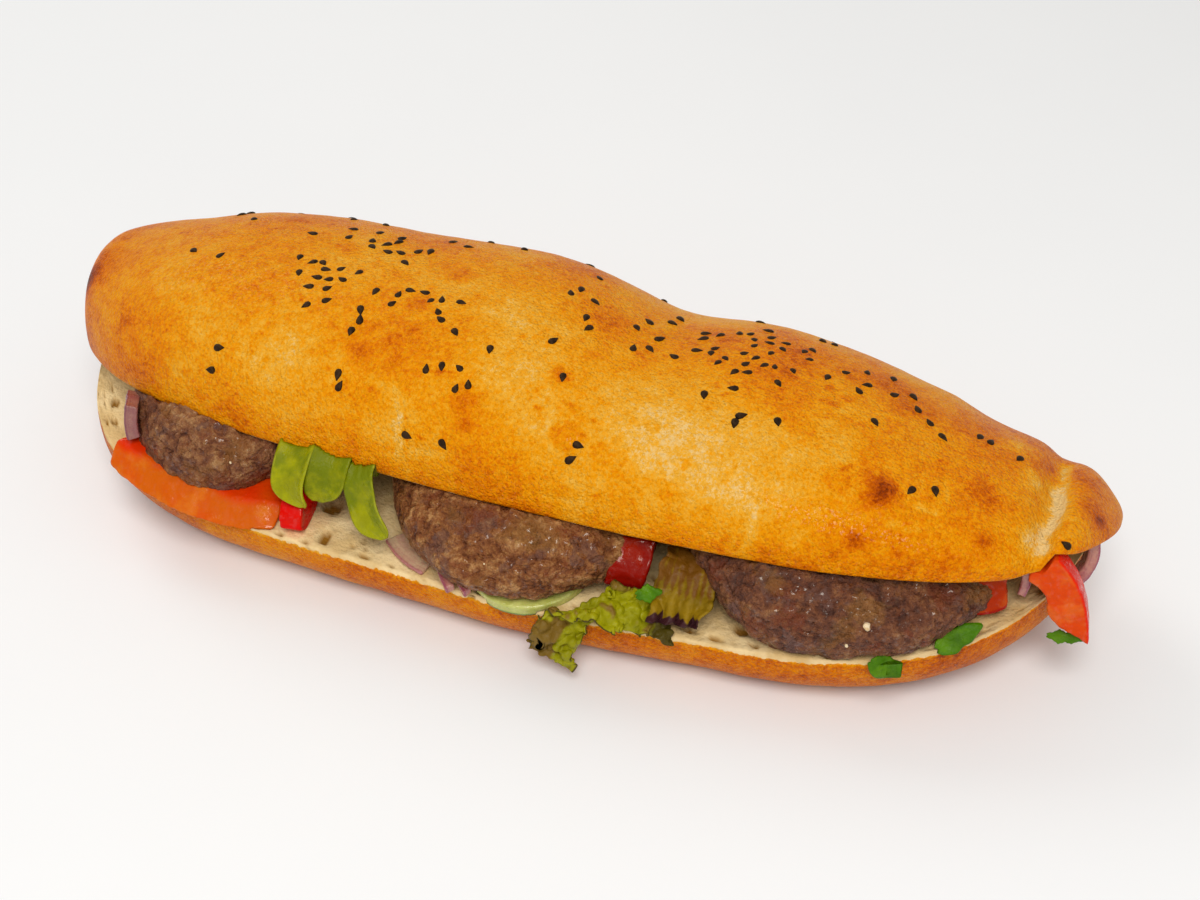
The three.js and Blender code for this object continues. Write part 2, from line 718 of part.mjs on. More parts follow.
// ---------------------------------------------------------------- putting it together
const roll = rollGeometry();
const seeded = seedPlaces().reduce((body, place) => body.add(solid(seedGeometry(place))), solid(roll));
const neighbours = [grown(roll)];
const group = new THREE.Group();

function addPiece(name, look, geometry) {
  const material = new THREE.MeshStandardMaterial({ ...LOOK[look], metalness: 0 });
  const mesh = new THREE.Mesh(geometry, material);
  mesh.name = name;
  mesh.position.set(...ORIGIN);
  group.add(mesh);
}

function addFilling(name, look, whole) {
  addPiece(name, look, cutBy(whole, neighbours));
  neighbours.push(grown(whole));
}

// What lies lowest comes first, then the patties, and the loose leaves and strips last.
addPiece("bread_roll", "crust", geometryFrom(seeded));
for (const name of UNDER_THE_PATTIES) addFilling(name, FILLINGS[name].look, FILLINGS[name].make());
for (const [side, size] of Object.entries(PATTY)) {
  addFilling(`kofta_patty_${side}`, "kofta", pattyGeometry(size));
}
for (const [name, { look, make }] of Object.entries(FILLINGS)) {
  if (!UNDER_THE_PATTIES.includes(name)) addFilling(name, look, make());
}

export default group;
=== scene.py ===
"""A half kofta sandwich, dressed: crust and crumb, seeds, patties, tomato, leaves, onion and cucumber.

Forms are worked out in millimetres from the same driving values as the solids, and put in metres at the end.
X runs along the roll, Y to its uncut back, Z up.
"""
import math

import bmesh
import bpy
import numpy as np
from mathutils import Euler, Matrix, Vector, noise


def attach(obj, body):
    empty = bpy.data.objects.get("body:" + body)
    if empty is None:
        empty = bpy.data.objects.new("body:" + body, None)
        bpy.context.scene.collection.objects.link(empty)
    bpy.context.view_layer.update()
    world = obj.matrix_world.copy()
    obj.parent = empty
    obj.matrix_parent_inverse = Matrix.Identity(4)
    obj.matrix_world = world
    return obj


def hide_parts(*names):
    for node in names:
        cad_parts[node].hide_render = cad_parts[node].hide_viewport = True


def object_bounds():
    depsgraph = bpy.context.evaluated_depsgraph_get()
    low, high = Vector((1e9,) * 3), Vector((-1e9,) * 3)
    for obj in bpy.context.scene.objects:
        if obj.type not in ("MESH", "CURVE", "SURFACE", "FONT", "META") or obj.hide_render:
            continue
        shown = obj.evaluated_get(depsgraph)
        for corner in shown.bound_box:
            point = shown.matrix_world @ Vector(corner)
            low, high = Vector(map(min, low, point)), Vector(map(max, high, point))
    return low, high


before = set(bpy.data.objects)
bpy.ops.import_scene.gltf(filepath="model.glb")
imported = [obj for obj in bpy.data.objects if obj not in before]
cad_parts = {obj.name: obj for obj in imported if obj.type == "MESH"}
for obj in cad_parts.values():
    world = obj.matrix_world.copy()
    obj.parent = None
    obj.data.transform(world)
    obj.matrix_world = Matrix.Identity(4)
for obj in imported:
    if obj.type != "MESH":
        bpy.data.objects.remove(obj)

CAD_BOX = [list(corner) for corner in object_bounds()]
MM = 0.001
MERGE_DISTANCE = 1e-4  # mm
ORIGIN = np.array([0, 0.34, 0])  # the solids' own shift, in millimetres

# ---------------------------------------------------------------- the roll's driving values (mm)
HALF_LENGTH = 141
SHOWN_HALF_LENGTH = 140.1  # the tips close inside the solid's own end faces
SHOWN_SHARE = SHOWN_HALF_LENGTH / HALF_LENGTH
PROFILE = {  # middle, skew, bow, fullness of each end, value at each tip
    "back": (51, -7, -4, (3.4, 3.2), (24, 15)),
    "lipY": (-35.5, -4.5, 8, (6.4, 5.4), (22, 12)),
    "rimY": (-45.3, -3.8, 4.6, (7, 4.2), (14, 20)),
    "backZ": (30, -1, 0, (4, 4), (33, 30)),
    "lipZ": (37, 0.5, 4, (4.2, 5.4), (27, 33)),
    "rimZ": (16.5, -0.6, 3.6, (6, 4.3), (30, 29)),
    "crown": (65.5, -9.5, -4, (3.4, 3.3), (38, 33)),
    "base": (-1.2, 0, 0, (5.4, 4), (28, 27)),
}
END_FULL = (3.4, 3.4)
LOWER_SHORT = (8, 6)
LEAST_SLOT = 1.2
HINGE_WIDTH = 14
HINGE_GAP = 2
UPPER_ARCH = 9
LOWER_SAG = 2
UNDER_DEPTH = 1.15
DOME_POWERS = (0.9, 0.85)  # in Y and Z: below 1, the section is fuller than an ellipse
UNDER_POWERS = (0.8, 0.85)
RELIEF = [  # x, turn, reach in x, reach in turn, height
    (-14, 0.35, 22, 0.3, 2.4),
    (24, 0.35, 17, 0.3, -3.6),
    (60, 0.3, 30, 0.3, 1.2),
    (124, 0.62, 3.2, 0.5, -3),
    (133, 0.6, 6, 0.8, 3.3),
    (107, 0.25, 8, 0.14, -1.6),
    (-112, 0.3, 14, 0.3, -1.5),
    (-135, 0.62, 6, 0.25, 4.6),
]
LIP_LIFT = {"from": 124.5, "to": 128, "up": 7, "back": 0.8}
RIM_WAVES = [(0, 16, 1.2), (50, 24, -1.4)]  # x, reach, how far it stands out

# How finely the roll is meshed: rings along it, and steps round each ring.
MIDDLE_RINGS = 212
END_RINGS = 26  # in the last share of each end
END_SHARE = 0.06
CAP_RINGS = 5  # these draw each tip together to a point
STEPS = {"dome": 150, "upper": 24, "lower": 56, "under": 68}

# Marks of the baking on the crust, with one painted highlight among them: x, turn, reach (mm), how dark (or
# pale, if negative), and how raised (mm).
MARKS = [
    (87, 0.70, 4.0, 0.85, 0.9),
    (9, 0.48, 6.5, 0.42, 0.1),
    (-44, 0.72, 3.4, 0.5, 0.1),
    (12, 0.785, 2.6, 0.5, 0.6),
    (6, 0.65, 3.2, 0.6, 0.15),
    (-14, 0.76, 3.4, 0.5, 0.1),
    (-13, 0.82, 2.0, 0.35, 0.1),
    (-34, 0.57, 2.6, 0.4, 0.1),
    (-30, 0.49, 3.2, 0.45, 0.1),
    (-62, 0.48, 3.2, 0.45, 0.1),
    (111, 0.79, 2.4, 0.5, 0.3),
    (109, 0.61, 3.4, 0.3, 0.1),
    (83, 0.86, 2.2, 0.55, 0.2),
    (72, 0.5, 2.0, 0.3, 0.1),
    (76, 0.70, 2.2, 0.35, 0.3),
    (-133, 0.71, 4.0, 0.95, 0.2),
    (-131, 0.62, 4.0, 0.35, 0.0),
    (-138, 0.9, 3.5, -0.7, 0.2),
    (-94, 0.12, 9, 0.4, 0.0),
    (-60, 0.62, 6, 0.2, 0.0),
    (-112, 0.8, 2.5, 0.35, 0.0),
    (-35, 0.68, 9, 0.16, 0.0),
    (31, 0.42, 9, 0.3, 0.0),
    (-3, 0.33, 8, 0.25, 0.0),
    (58, 0.5, 8, 0.22, 0.0),
    (60, 0.74, 4, 0.15, 0.0),
    (88, 0.42, 10, 0.2, 0.0),
    (100, 0.7, 12, 0.16, 0.0),
    (114, 0.40, 4.0, -0.6, 0.2),
    (119, 0.50, 3.0, -0.5, 0.0),
    (121, 0.76, 3.4, -0.5, 0.0),
    (135, 0.60, 5.0, 0.35, 0.2),
    (136, 0.66, 2.2, 0.4, 0.0),
    (131, 0.44, 3.0, 0.3, 0.2),
    # painted highlight: the broad pale patch on the front of the dome
    (32, 0.72, 24, -0.26, 0.0),
    (58, 0.83, 14, -0.12, 0.0),
    (-52, 0.85, 22, -0.14, 0.0),
    (-96, 0.42, 20, -0.16, 0.0),
    (-8, 0.6, 18, -0.14, 0.0),
]
# Ring-shaped imprints that lost seeds and small bubbles left: x, turn, radius (mm).
RINGS = [
    (21, 0.80, 1.9), (31, 0.70, 1.3), (78, 0.75, 1.3), (49, 0.54, 1.4), (10, 0.72, 1.6),
    (-66, 0.63, 1.3), (-49, 0.69, 1.5), (-45, 0.66, 1.7), (-37, 0.67, 1.6), (-14, 0.66, 1.5),
    (-66, 0.48, 1.3), (-43, 0.57, 1.6), (12, 0.78, 3.2), (76, 0.70, 2.8), (64, 0.58, 1.3),
    (-90, 0.66, 1.4), (38, 0.62, 1.3), (98, 0.55, 1.4),
]
RING_DARK = 0.13
# Pale stretch lines in the crust near the lip: x, turn, reach in x and round the roll (mm), how pale.
STRETCHES = [
    (-30, 0.84, 0.9, 5, 0.24), (-29, 0.91, 1.1, 3.5, 0.24), (-35, 0.78, 4, 0.9, 0.14),
    (-21, 0.91, 4.5, 1.0, 0.18), (60, 0.9, 1.0, 6, 0.16), (98, 0.72, 5, 0.9, 0.2),
    (101, 0.66, 1.0, 5, 0.2), (93, 0.79, 4, 0.9, 0.16), (-77, 0.97, 1.2, 3, 0.2),
    (-92, 0.9, 3, 1.0, 0.1), (12, 0.94, 4, 0.9, 0.1), (126, 0.55, 1.2, 8, 0.2),
]
# The pale crease before the nose at the right end: x at turn 0, its lean over a turn and half its width (mm),
# the turns that it spans, how pale it is, and how deep (mm).
CREASE = {"x": 127, "lean": -3.4, "wide": 1.5, "from": 0.26, "to": 0.9, "pale": 0.46, "deep": 0.9}
# Large pores in the lower crumb: x, y, reach in x and y (mm).
HOLES = [(-48.6, -38.7, 1.3, 2.2), (60.2, -37.2, 2.2, 1.4), (47.6, -40.7, 1.6, 1.0), (-38.8, -31.1, 1.6, 1.2),
         (-121, -14.4, 1.0, 1.5), (-51.5, -28.6, 2.4, 1.8), (-60, -41.5, 1.1, 0.7), (54, -41.5, 1.0, 0.8),
         (125.7, -8.2, 1.2, 1.2), (-36, -42, 0.9, 0.6), (64, -41, 1.0, 0.7)]

MARK_DEPTH = 0.5  # how far a mark of 1 changes the tone
PLAIN_BAKE = 0.34  # tone of the crust where nothing marks it
UNDER_BAKE = 0.2  # how much darker the under crust is
END_BAKE = 0.16  # how much darker the tips are
# The crust's own swells: their wavelengths and heights (mm).
SWELLS = {"wide": 26, "fine": 7, "wide_up": 0.30, "fine_up": 0.10}
# Small pores of the crumb: how far apart (mm), their size as a share of that, how it varies, and depth (mm).
PORES = {"apart": 3.4, "size": 0.20, "size_spread": 0.26, "deep": 1.3}
RIGHT_CRUMB_SHADE = {"share": 0.32, "from": 38, "to": 75}  # painted shade over the crumb toward the right end, by x

# Black seeds: half length, half width, half height, how much they narrow, how deep they sit and how far apart
# they keep (mm), the draw, its tries for each group, and the step over which the crust's slope is taken.
SEED = {"long": 1.6, "wide": 1.0, "high": 0.62, "taper": 0.3, "sunk": 0.1, "apart": 2.7, "draw": 286,
        "most_tries": 400, "step": 0.004}
SEED_GROUPS = [  # middle in x and turn, usual distance from it in each, how many
    (-100, 0.6, 6, 0.11, 5),
    (-82.5, 0.81, 1, 0.06, 2),
    (-60, 0.44, 8, 0.04, 13),
    (-58, 0.565, 6, 0.035, 16),
    (-47, 0.65, 0.6, 0.02, 2),
    (-47.8, 0.786, 0.8, 0.01, 2),
    (-34, 0.565, 5, 0.02, 9),
    (-37, 0.41, 4, 0.04, 3),
    (-15, 0.69, 9, 0.035, 7),
    (-23, 0.877, 5, 0.005, 2),
    (20, 0.81, 5, 0.015, 2),
    (3, 0.51, 5, 0.06, 8),
    (31, 0.47, 7, 0.05, 15),
    (48, 0.44, 7, 0.06, 24),
    (51, 0.62, 5, 0.035, 4),
    (84, 0.43, 7, 0.05, 11),
    (106, 0.435, 5, 0.015, 3),
    (95.3, 0.666, 1.8, 0.01, 2),
    (130, 0.855, 0.2, 0.005, 1),
    (-30, 0.27, 30, 0.04, 7),
    (50, 0.27, 22, 0.04, 6),
]

# Patties: centre, size, turn in plan (degrees), draw of their lumps.
PATTY = {
    "left": ((-84, -14, 34), (50, 50, 22), 0, 11),
    "middle": ((-2, -20.3, 30), (67, 54, 25), -10, 12),
    "right": ((77.5, -16.5, 30.5), (69, 54, 25), 8, 13),
}
PATTY_TONE_AND_SHADE = {"left": 0.13, "middle": 0.1, "right": -0.12}  # how much paler each is than plain mince; the right one is darker as painted shade from the top of the roll over it
PATTY_CHAR = {"left": 0.3, "middle": 0.05, "right": 0.35}  # how far it is turned to purple-grey all over
PATTY_NOSE_DOWN = 15
PATTY_SQUARE = np.array([0.9, 0.9, 0.8])
LUMPS = {"count": 46, "reach": 0.3, "height": 0.07}
# The mince: sizes (mm) of its clumps, creases, grains and swells, and the swirl that warps the first two.
MINCE_SIZE = {"clump": 5.6, "crease": 9, "grain": 2.4, "broad": 12, "swirl": 6}
MINCE_SWIRL = 2.6
MINCE_HEIGHT = {"clump": 0.6, "crack": -0.3, "crease": -0.35, "grain": 0.42, "broad": 0.9}  # mm
# painted light and shade of the relief: paler on clumps, grains and swells, darker in cracks and creases
MINCE_LIGHT_AND_SHADE = {"clump": 0.10, "crack": -0.10, "crease": -0.18, "grain": 0.24, "broad": 0.10}
MINCE_SUNK = 0.3  # mm, so that the relief stays about the solid's surface
PLAIN_MINCE = 0.48  # tone
# Tomato: radii, arc (degrees), how far back it goes, thickness, centre, tilt (degrees).
TOMATO = {
    "tomato_slice_left": ((49, 36), (231, 292), 2, 5, (-79, -9.5, 25.5), (8, 6, 0)),
    "tomato_wedge_left": ((11, 9), (178, 280), 3, 6, (-57.2, -33.2, 27.2), (90, -40, 96)),
    "tomato_wedge_middle": ((11.5, 9), (175, 275), 3, 10, (30.3, -30, 31.4), (90, -45, 96)),
    "tomato_wedge_right": ((12, 14), (215, 305), 2, 7, (110.5, -16, 37.5), (76, 0, 14)),
}
LEANING_ASIDE = {"tomato_wedge_middle": (30, 0.2)}  # from which height, and by what share above it
# The finish of each piece of tomato: its name, its skin, its flesh, and the walls in the flesh.
TOMATO_LOOKS = {
    "tomato_slice_left": ("tomato slice", (0.66, 0.022, 0.0), (0.58, 0.105, 0.002), (0.66, 0.19, 0.015)),
    "tomato_wedge_left": ("scarlet tomato", (0.66, 0.001, 0.0), (0.64, 0.002, 0.0), (0.66, 0.008, 0.0)),
    # painted shade: the middle wedge lies in shadow between patty and lettuce, and its colours are darkened
    # for it
    "tomato_wedge_middle": ("shaded red tomato", (0.19, 0.002, 0.0), (0.24, 0.004, 0.0), (0.31, 0.014, 0.001)),
    "tomato_wedge_right": ("inner tomato", (0.30, 0.006, 0.0), (0.38, 0.026, 0.001), (0.48, 0.075, 0.003)),
    "tomato_wedge_end": ("hanging tomato", (0.70, 0.016, 0.001), (0.64, 0.055, 0.002), (0.70, 0.13, 0.014)),
}
# Onion: radius, width, arc (degrees), thickness, centre, tilt (degrees), finish.
ONION = {
    "onion_left": (22, 3.4, (163, 190), 9, (-87.5, -19.6, 32.6), (80, 0, 25), "shaded onion"),
    "onion_petal_middle": (26, 9, (222, 256), 1.8, (-14, -18.5, 19.3), (5, 0, 0), "pale onion"),
    "onion_strip_middle_1": (32.5, 2.2, (204, 227), 2.4, (10.4, -25.3, 23.8), (12, 0, 0), "red onion"),
    "onion_strip_middle_2": (29.3, 2.2, (206, 233), 2.4, (10.4, -25.3, 23.4), (12, 0, 0), "red onion"),
    "onion_right": (18, 2.2, (-14, 26), 6, (104.5, -12, 31), (85, 0, 0), "red onion"),
    "onion_end": (12, 3, (-48, 34), 5, (124.5, -3.5, 34), (70, 10, 10), "red onion"),
}
ONION_LOOKS = {  # two tones of the flesh, and the skin side
    "red onion": ((0.50, 0.23, 0.18), (0.40, 0.13, 0.14), (0.26, 0.03, 0.07)),
    "shaded onion": ((0.30, 0.125, 0.10), (0.25, 0.075, 0.075), (0.17, 0.02, 0.045)),
    "pale onion": ((0.62, 0.43, 0.28), (0.52, 0.30, 0.22), (0.40, 0.14, 0.14)),
}
CUCUMBER = (15.5, 3.4, (4, -32.5, 18.6), (7, 0, 0))  # radius, thickness, centre, tilt
SKIN_DEPTH = 0.05  # share of a tomato's radius
VOXEL = {"slice": 0.45, "wedge": 0.42, "hanging wedge": 0.38, "onion": 0.28}
ARC_STEPS = {"slice": 40, "ring": 24, "bow": 6}
LEAF_ROUND = 0.3  # share of a leaf over which its tip is rounded off
CLEAR = 0.35  # what fills the cut keeps this far from the crumb
LEAST_FILL = 0.4  # and is at least this thick where it is pressed
SLOT_END = 0.985  # the cut is taken as it is here for anything further out
NO_FLOOR, NO_ROOF = -99, 999  # heights that press nothing

WARM = (1.0, 0.95, 0.85)  # the light of the photograph is warm; the floor is balanced against it
CAMERA = {"azimuth": 18.5, "elevation": 40, "distance": 500, "lens": 59.2, "target": (11.3, 0.34, 31)}


# ---------------------------------------------------------------- small helpers
def random_draws(seed):
    """The solids' own generator, so that seeds and lumps lie where theirs do."""
    state = seed * 7919 + 17

    def step():
        nonlocal state
        state = (state * 16807) % 2147483647
        return state / 2147483647

    for _ in range(5):
        step()
    return step


def signed_power(value, power):
    return np.sign(value) * np.abs(value) ** power


def smoothstep(value, low, high):
    share = np.clip((value - low) / (high - low), 0, 1)
    return share * share * (3 - 2 * share)


def stack(x, y, z):
    return np.stack(np.broadcast_arrays(x, y, z), axis=-1)


def unit(vectors):
    return vectors / np.maximum(np.linalg.norm(vectors, axis=-1, keepdims=True), 1e-9)


def ripple(points, wavelength, octaves=1, offset=0.0):
    """Smooth noise of about -1 to 1 at each point."""
    flat = points.reshape(-1, 3) / wavelength + offset
    if octaves == 1:
        values = [noise.noise(Vector(p)) for p in flat]
    else:
        values = [noise.fractal(Vector(p), 1.0, 2.0, octaves) for p in flat]
    return np.array(values).reshape(points.shape[:-1])


def cells(points, size, offset=0.0):
    """Distances to the nearest and second nearest cell centre, in cell sizes."""
    flat = points.reshape(-1, 3) / size + offset
    near = [noise.voronoi(Vector(p))[0][:2] for p in flat]
    near = np.array(near).reshape(points.shape[:-1] + (2,))
    return near[..., 0], near[..., 1]


# ---------------------------------------------------------------- the roll's form
def end_round(s, full):
    power = np.where(s < 0, full[0], full[1])
    return np.sqrt(np.maximum(0, 1 - np.abs(s) ** power))


def profile(name, s):
    middle, skew, bow, full, tip = PROFILE[name]
    end = np.where(s < 0, tip[0], tip[1])
    return end + (middle + skew * s + bow * s * s - end) * end_round(s, full)


def roll_profiles(s):
    at = {name: profile(name, s) for name in PROFILE}
    at["round"] = end_round(s, END_FULL)
    fade = np.minimum(1, 1.6 * at["round"])
    lift = smoothstep(s * HALF_LENGTH, LIP_LIFT["from"], LIP_LIFT["to"])
    at["lipZ"] = at["lipZ"] + LIP_LIFT["up"] * lift * fade
    at["lipY"] = at["lipY"] + LIP_LIFT["back"] * lift * fade
    at["lipZ"] = np.maximum(at["lipZ"], at["rimZ"] + LEAST_SLOT)
    for x, reach, out in RIM_WAVES:
        at["rimY"] = at["rimY"] - out * fade * np.exp(-(((s * HALF_LENGTH - x) / reach) ** 2))
    at["short"] = np.where(s < 0, LOWER_SHORT[0], LOWER_SHORT[1])
    at["hingeY"] = at["back"] - HINGE_WIDTH * at["round"]
    return at


def relief(x, turn):
    height = 0
    for centre, centre_turn, reach, reach_turn, rise in RELIEF:
        away = ((x - centre) / reach) ** 2 + ((turn - centre_turn) / reach_turn) ** 2
        height = height + rise * np.exp(-away)
    return height


def dome_points(s, turn):
    at = roll_profiles(s)
    angle = turn * math.pi
    swell = relief(s * HALF_LENGTH, turn) * np.minimum(1, 1.6 * at["round"])
    middle_y = (at["back"] + at["lipY"]) / 2
    reach_y = (at["back"] - at["lipY"]) / 2
    rise = at["crown"] - (at["backZ"] + at["lipZ"]) / 2
    y = middle_y + reach_y * signed_power(np.cos(angle), DOME_POWERS[0]) + swell * np.cos(angle)
    z = at["backZ"] + (at["lipZ"] - at["backZ"]) * turn + rise * signed_power(np.sin(angle), DOME_POWERS[1])
    return stack(s * HALF_LENGTH, y, z + swell * np.sin(angle))


def upper_cut_points(s, t):
    at = roll_profiles(s)
    lip = dome_points(s, np.ones_like(s))
    hinge_z = at["backZ"] + HINGE_GAP * at["round"]
    arch = UPPER_ARCH * at["round"] * np.sin(math.pi * t)
    y = lip[..., 1] + (at["hingeY"] - lip[..., 1]) * t
    return stack(lip[..., 0], y, lip[..., 2] + (hinge_z - lip[..., 2]) * t + arch)


def lower_cut_points(s, t):
    at = roll_profiles(s)
    hinge_z = at["backZ"] - HINGE_GAP * at["round"]
    sag = LOWER_SAG * at["round"] * np.sin(math.pi * t)
    y = at["hingeY"] + (at["rimY"] - at["hingeY"]) * t
    return stack(s * (HALF_LENGTH - at["short"] * t), y, hinge_z + (at["rimZ"] - hinge_z) * t - sag)


def under_points(s, t):
    at = roll_profiles(s)
    angle = t * math.pi
    reach_y = (at["back"] - at["rimY"]) / 2
    y = (at["rimY"] + at["back"]) / 2 - reach_y * signed_power(np.cos(angle), UNDER_POWERS[0])
    edge_z = at["rimZ"] + (at["backZ"] - at["rimZ"]) * t
    depth = ((at["rimZ"] + at["backZ"]) / 2 - at["base"]) * UNDER_DEPTH
    z = np.maximum(np.maximum(edge_z - depth * signed_power(np.sin(angle), UNDER_POWERS[1]), at["base"]), 0)
    return stack(s * (HALF_LENGTH - at["short"] * (1 - t)), y, z)


def slot_limits(points):
    """Lowest and highest Z that a filling may have at each point, and nothing where it is outside the cut."""
    s = np.clip(points[:, 0] / HALF_LENGTH, -SLOT_END, SLOT_END)
    at = roll_profiles(s)
    lip = dome_points(s, np.ones_like(s))
    t_up = (points[:, 1] - lip[:, 1]) / (at["hingeY"] - lip[:, 1])
    t_low = (points[:, 1] - at["hingeY"]) / (at["rimY"] - at["hingeY"])
    high = upper_cut_points(s, np.clip(t_up, 0, 1))[:, 2] - CLEAR
    low = lower_cut_points(s, np.clip(t_low, 0, 1))[:, 2] + CLEAR
    return np.where(t_low < 1, low, NO_FLOOR), np.where(t_up > 0, high, NO_ROOF)


def pressed(points):
    """Points of a filling pressed into the cut, as far as they are between its two faces."""
    low, high = slot_limits(points)
    out = points.copy()
    out[:, 2] = np.maximum(np.minimum(out[:, 2], np.maximum(high, low + LEAST_FILL)), low)
    return out


# ---------------------------------------------------------------- making pieces
def grid_bmesh(surface, masks):
    """A grid drawn over surface[column, row] (mm) and closed along its edges, with named values."""
    columns, rows = surface.shape[0] - 1, surface.shape[1] - 1
    bm = bmesh.new()
    bmesh.ops.create_grid(bm, x_segments=columns, y_segments=rows, size=1)
    layers = {name: bm.verts.layers.float.new(name) for name in masks}
    for vert in bm.verts:
        column = round((vert.co.x + 1) / 2 * columns)
        row = round((vert.co.y + 1) / 2 * rows)
        for name, values in masks.items():
            vert[layers[name]] = values[column, row]
        vert.co = surface[column, row]
    edge = [vert for vert in bm.verts if vert.is_boundary]
    bmesh.ops.remove_doubles(bm, verts=edge, dist=MERGE_DISTANCE)
    return bm


def move_verts(bm, points):
    for vert, point in zip(bm.verts, points):
        vert.co = point


def vert_points(bm):
    return np.array([vert.co[:] for vert in bm.verts])


def vert_normals(bm):
    bm.normal_update()
    return np.array([vert.normal[:] for vert in bm.verts])


def set_mask(bm, name, values):
    layer = bm.verts.layers.float.new(name)
    for vert, value in zip(bm.verts, values):
        vert[layer] = float(value)


def mesh_of(bm, name):
    mesh = bpy.data.meshes.new(name)
    bm.to_mesh(mesh)
    bm.free()
    return mesh


def add_piece(name, bm, material, slot, *nodes):
    """Puts a modelled piece (mm) in place of its nodes, in metres, inside the solids' box."""
    low, high = (np.array(corner) for corner in CAD_BOX)
    points = np.clip((vert_points(bm) + ORIGIN) * MM, low, high)
    move_verts(bm, points)
    mesh = mesh_of(bm, name)
    mesh.shade_smooth()
    mesh.materials.append(material)
    piece = bpy.data.objects.new(name, mesh)
    bpy.context.scene.collection.objects.link(piece)
    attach(piece, "root")
    if nodes:
        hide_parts(*nodes)
    return piece


def remeshed(bm, voxel, smooth):
    """The same closed form with even small faces and softened edges."""
    mesh = mesh_of(bm, "rough form")
    rough = bpy.data.objects.new("rough form", mesh)
    bpy.context.scene.collection.objects.link(rough)
    modifier = rough.modifiers.new("even faces", "REMESH")
    modifier.mode = "VOXEL"
    modifier.voxel_size = voxel
    bpy.context.view_layer.update()
    evaluated = rough.evaluated_get(bpy.context.evaluated_depsgraph_get())
    even = bmesh.new()
    even.from_mesh(evaluated.to_mesh())
    evaluated.to_mesh_clear()
    bpy.data.objects.remove(rough)
    bpy.data.meshes.remove(mesh)
    for _ in range(smooth):
        bmesh.ops.smooth_vert(even, verts=even.verts, factor=0.5, use_axis_x=True, use_axis_y=True,
                              use_axis_z=True)
    return even


def placed(points, centre, tilt):
    turn = np.array(Euler([math.radians(a) for a in tilt], "XYZ").to_matrix())
    return points @ turn.T + np.array(centre)


# ---------------------------------------------------------------- material helpers
class Finish:
    """A material under construction. Inputs are given as values or as sockets to be linked."""

    def __init__(self, name, **shader):
        self.material = bpy.data.materials.new(name)
        self.material.use_nodes = True
        self.tree = self.material.node_tree
        self.shader = self.tree.nodes["Principled BSDF"]
        self.place = self.node("ShaderNodeTexCoord").outputs["Object"]
        for socket, value in shader.items():
            self.shader.inputs[socket.replace("_", " ")].default_value = value

    def node(self, kind, inputs=None, **settings):
        node = self.tree.nodes.new(kind)
        for key, value in settings.items():
            setattr(node, key, value)
        feed(self.tree, node, inputs)
        return node

    def group(self, group, output, **inputs):
        node = self.tree.nodes.new("ShaderNodeGroup")
        node.node_tree = group
        feed(self.tree, node, {"Place": self.place, **{k.replace("_", " "): v for k, v in inputs.items()}})
        return node.outputs[output]

    def mottle(self, first, second, scale):
        """Two colours drifting into each other."""
        return self.group(MOTTLE, "Colour", First=first, Second=second, Scale=scale)

    def patches(self, scale, balance, softness):
        """1 in soft patches, 0 between them."""
        return self.group(MOTTLE, "Share", Scale=scale, Balance=balance, Softness=softness)

    def pebbles(self, grain_scale, swell_scale, swell_share):
        return self.group(PEBBLING, "Height", Grain_Scale=grain_scale, Swell_Scale=swell_scale,
                          Swell_Share=swell_share)

    def wetness(self, scale, wet, dry):
        return self.group(WETNESS, "Roughness", Scale=scale, Wet=wet, Dry=dry)

    def mask(self, name):
        return self.node("ShaderNodeAttribute", attribute_name=name).outputs["Fac"]

    def grain(self, scale, detail=3.0, rough=0.55, warp=0.0):
        inputs = {"Vector": self.place, "Scale": scale, "Detail": detail, "Roughness": rough,
                  "Distortion": warp}
        return self.node("ShaderNodeTexNoise", inputs).outputs["Fac"]

    def sum(self, *values):
        total = values[0]
        for value in values[1:]:
            total = self.node("ShaderNodeMath", {0: total, 1: value}, operation="ADD").outputs[0]
        return total

    def times(self, first, second):
        return self.node("ShaderNodeMath", {0: first, 1: second}, operation="MULTIPLY").outputs[0]

    def between(self, value, low, high, to_low=0.0, to_high=1.0):
        inputs = {"Value": value, "From Min": low, "From Max": high, "To Min": to_low, "To Max": to_high}
        return self.node("ShaderNodeMapRange", inputs, interpolation_type="SMOOTHSTEP").outputs["Result"]

    def mix(self, share, first, second):
        node = self.node("ShaderNodeMix", data_type="RGBA")
        feed(self.tree, node, {0: share, 6: first, 7: second})
        return node.outputs[2]

    def ramp(self, value, *stops):
        node = self.node("ShaderNodeValToRGB", {"Fac": value})
        elements = node.color_ramp.elements
        while len(elements) < len(stops):
            elements.new(1.0)
        for element, (position, colour) in zip(elements, stops):
            element.position = position
            element.color = (*colour, 1)
        return node.outputs["Color"]

    def bump(self, height, distance, strength):
        """Normals of a relief; the distance is in metres."""
        inputs = {"Height": height, "Distance": distance, "Strength": strength}
        return self.node("ShaderNodeBump", inputs).outputs["Normal"]

    def less(self, first, second):
        return self.node("ShaderNodeMath", {0: first, 1: second}, operation="SUBTRACT").outputs[0]

    def finish(self, **sockets):
        feed(self.tree, self.shader, {name.replace("_", " "): value for name, value in sockets.items()})
        return self.material


def feed(tree, node, inputs):
    for key, value in (inputs or {}).items():
        if isinstance(value, bpy.types.NodeSocket):
            tree.links.new(value, node.inputs[key])
        elif isinstance(value, tuple) and len(value) == 3 and node.inputs[key].type == "RGBA":
            node.inputs[key].default_value = (*value, 1)
        else:
            node.inputs[key].default_value = value


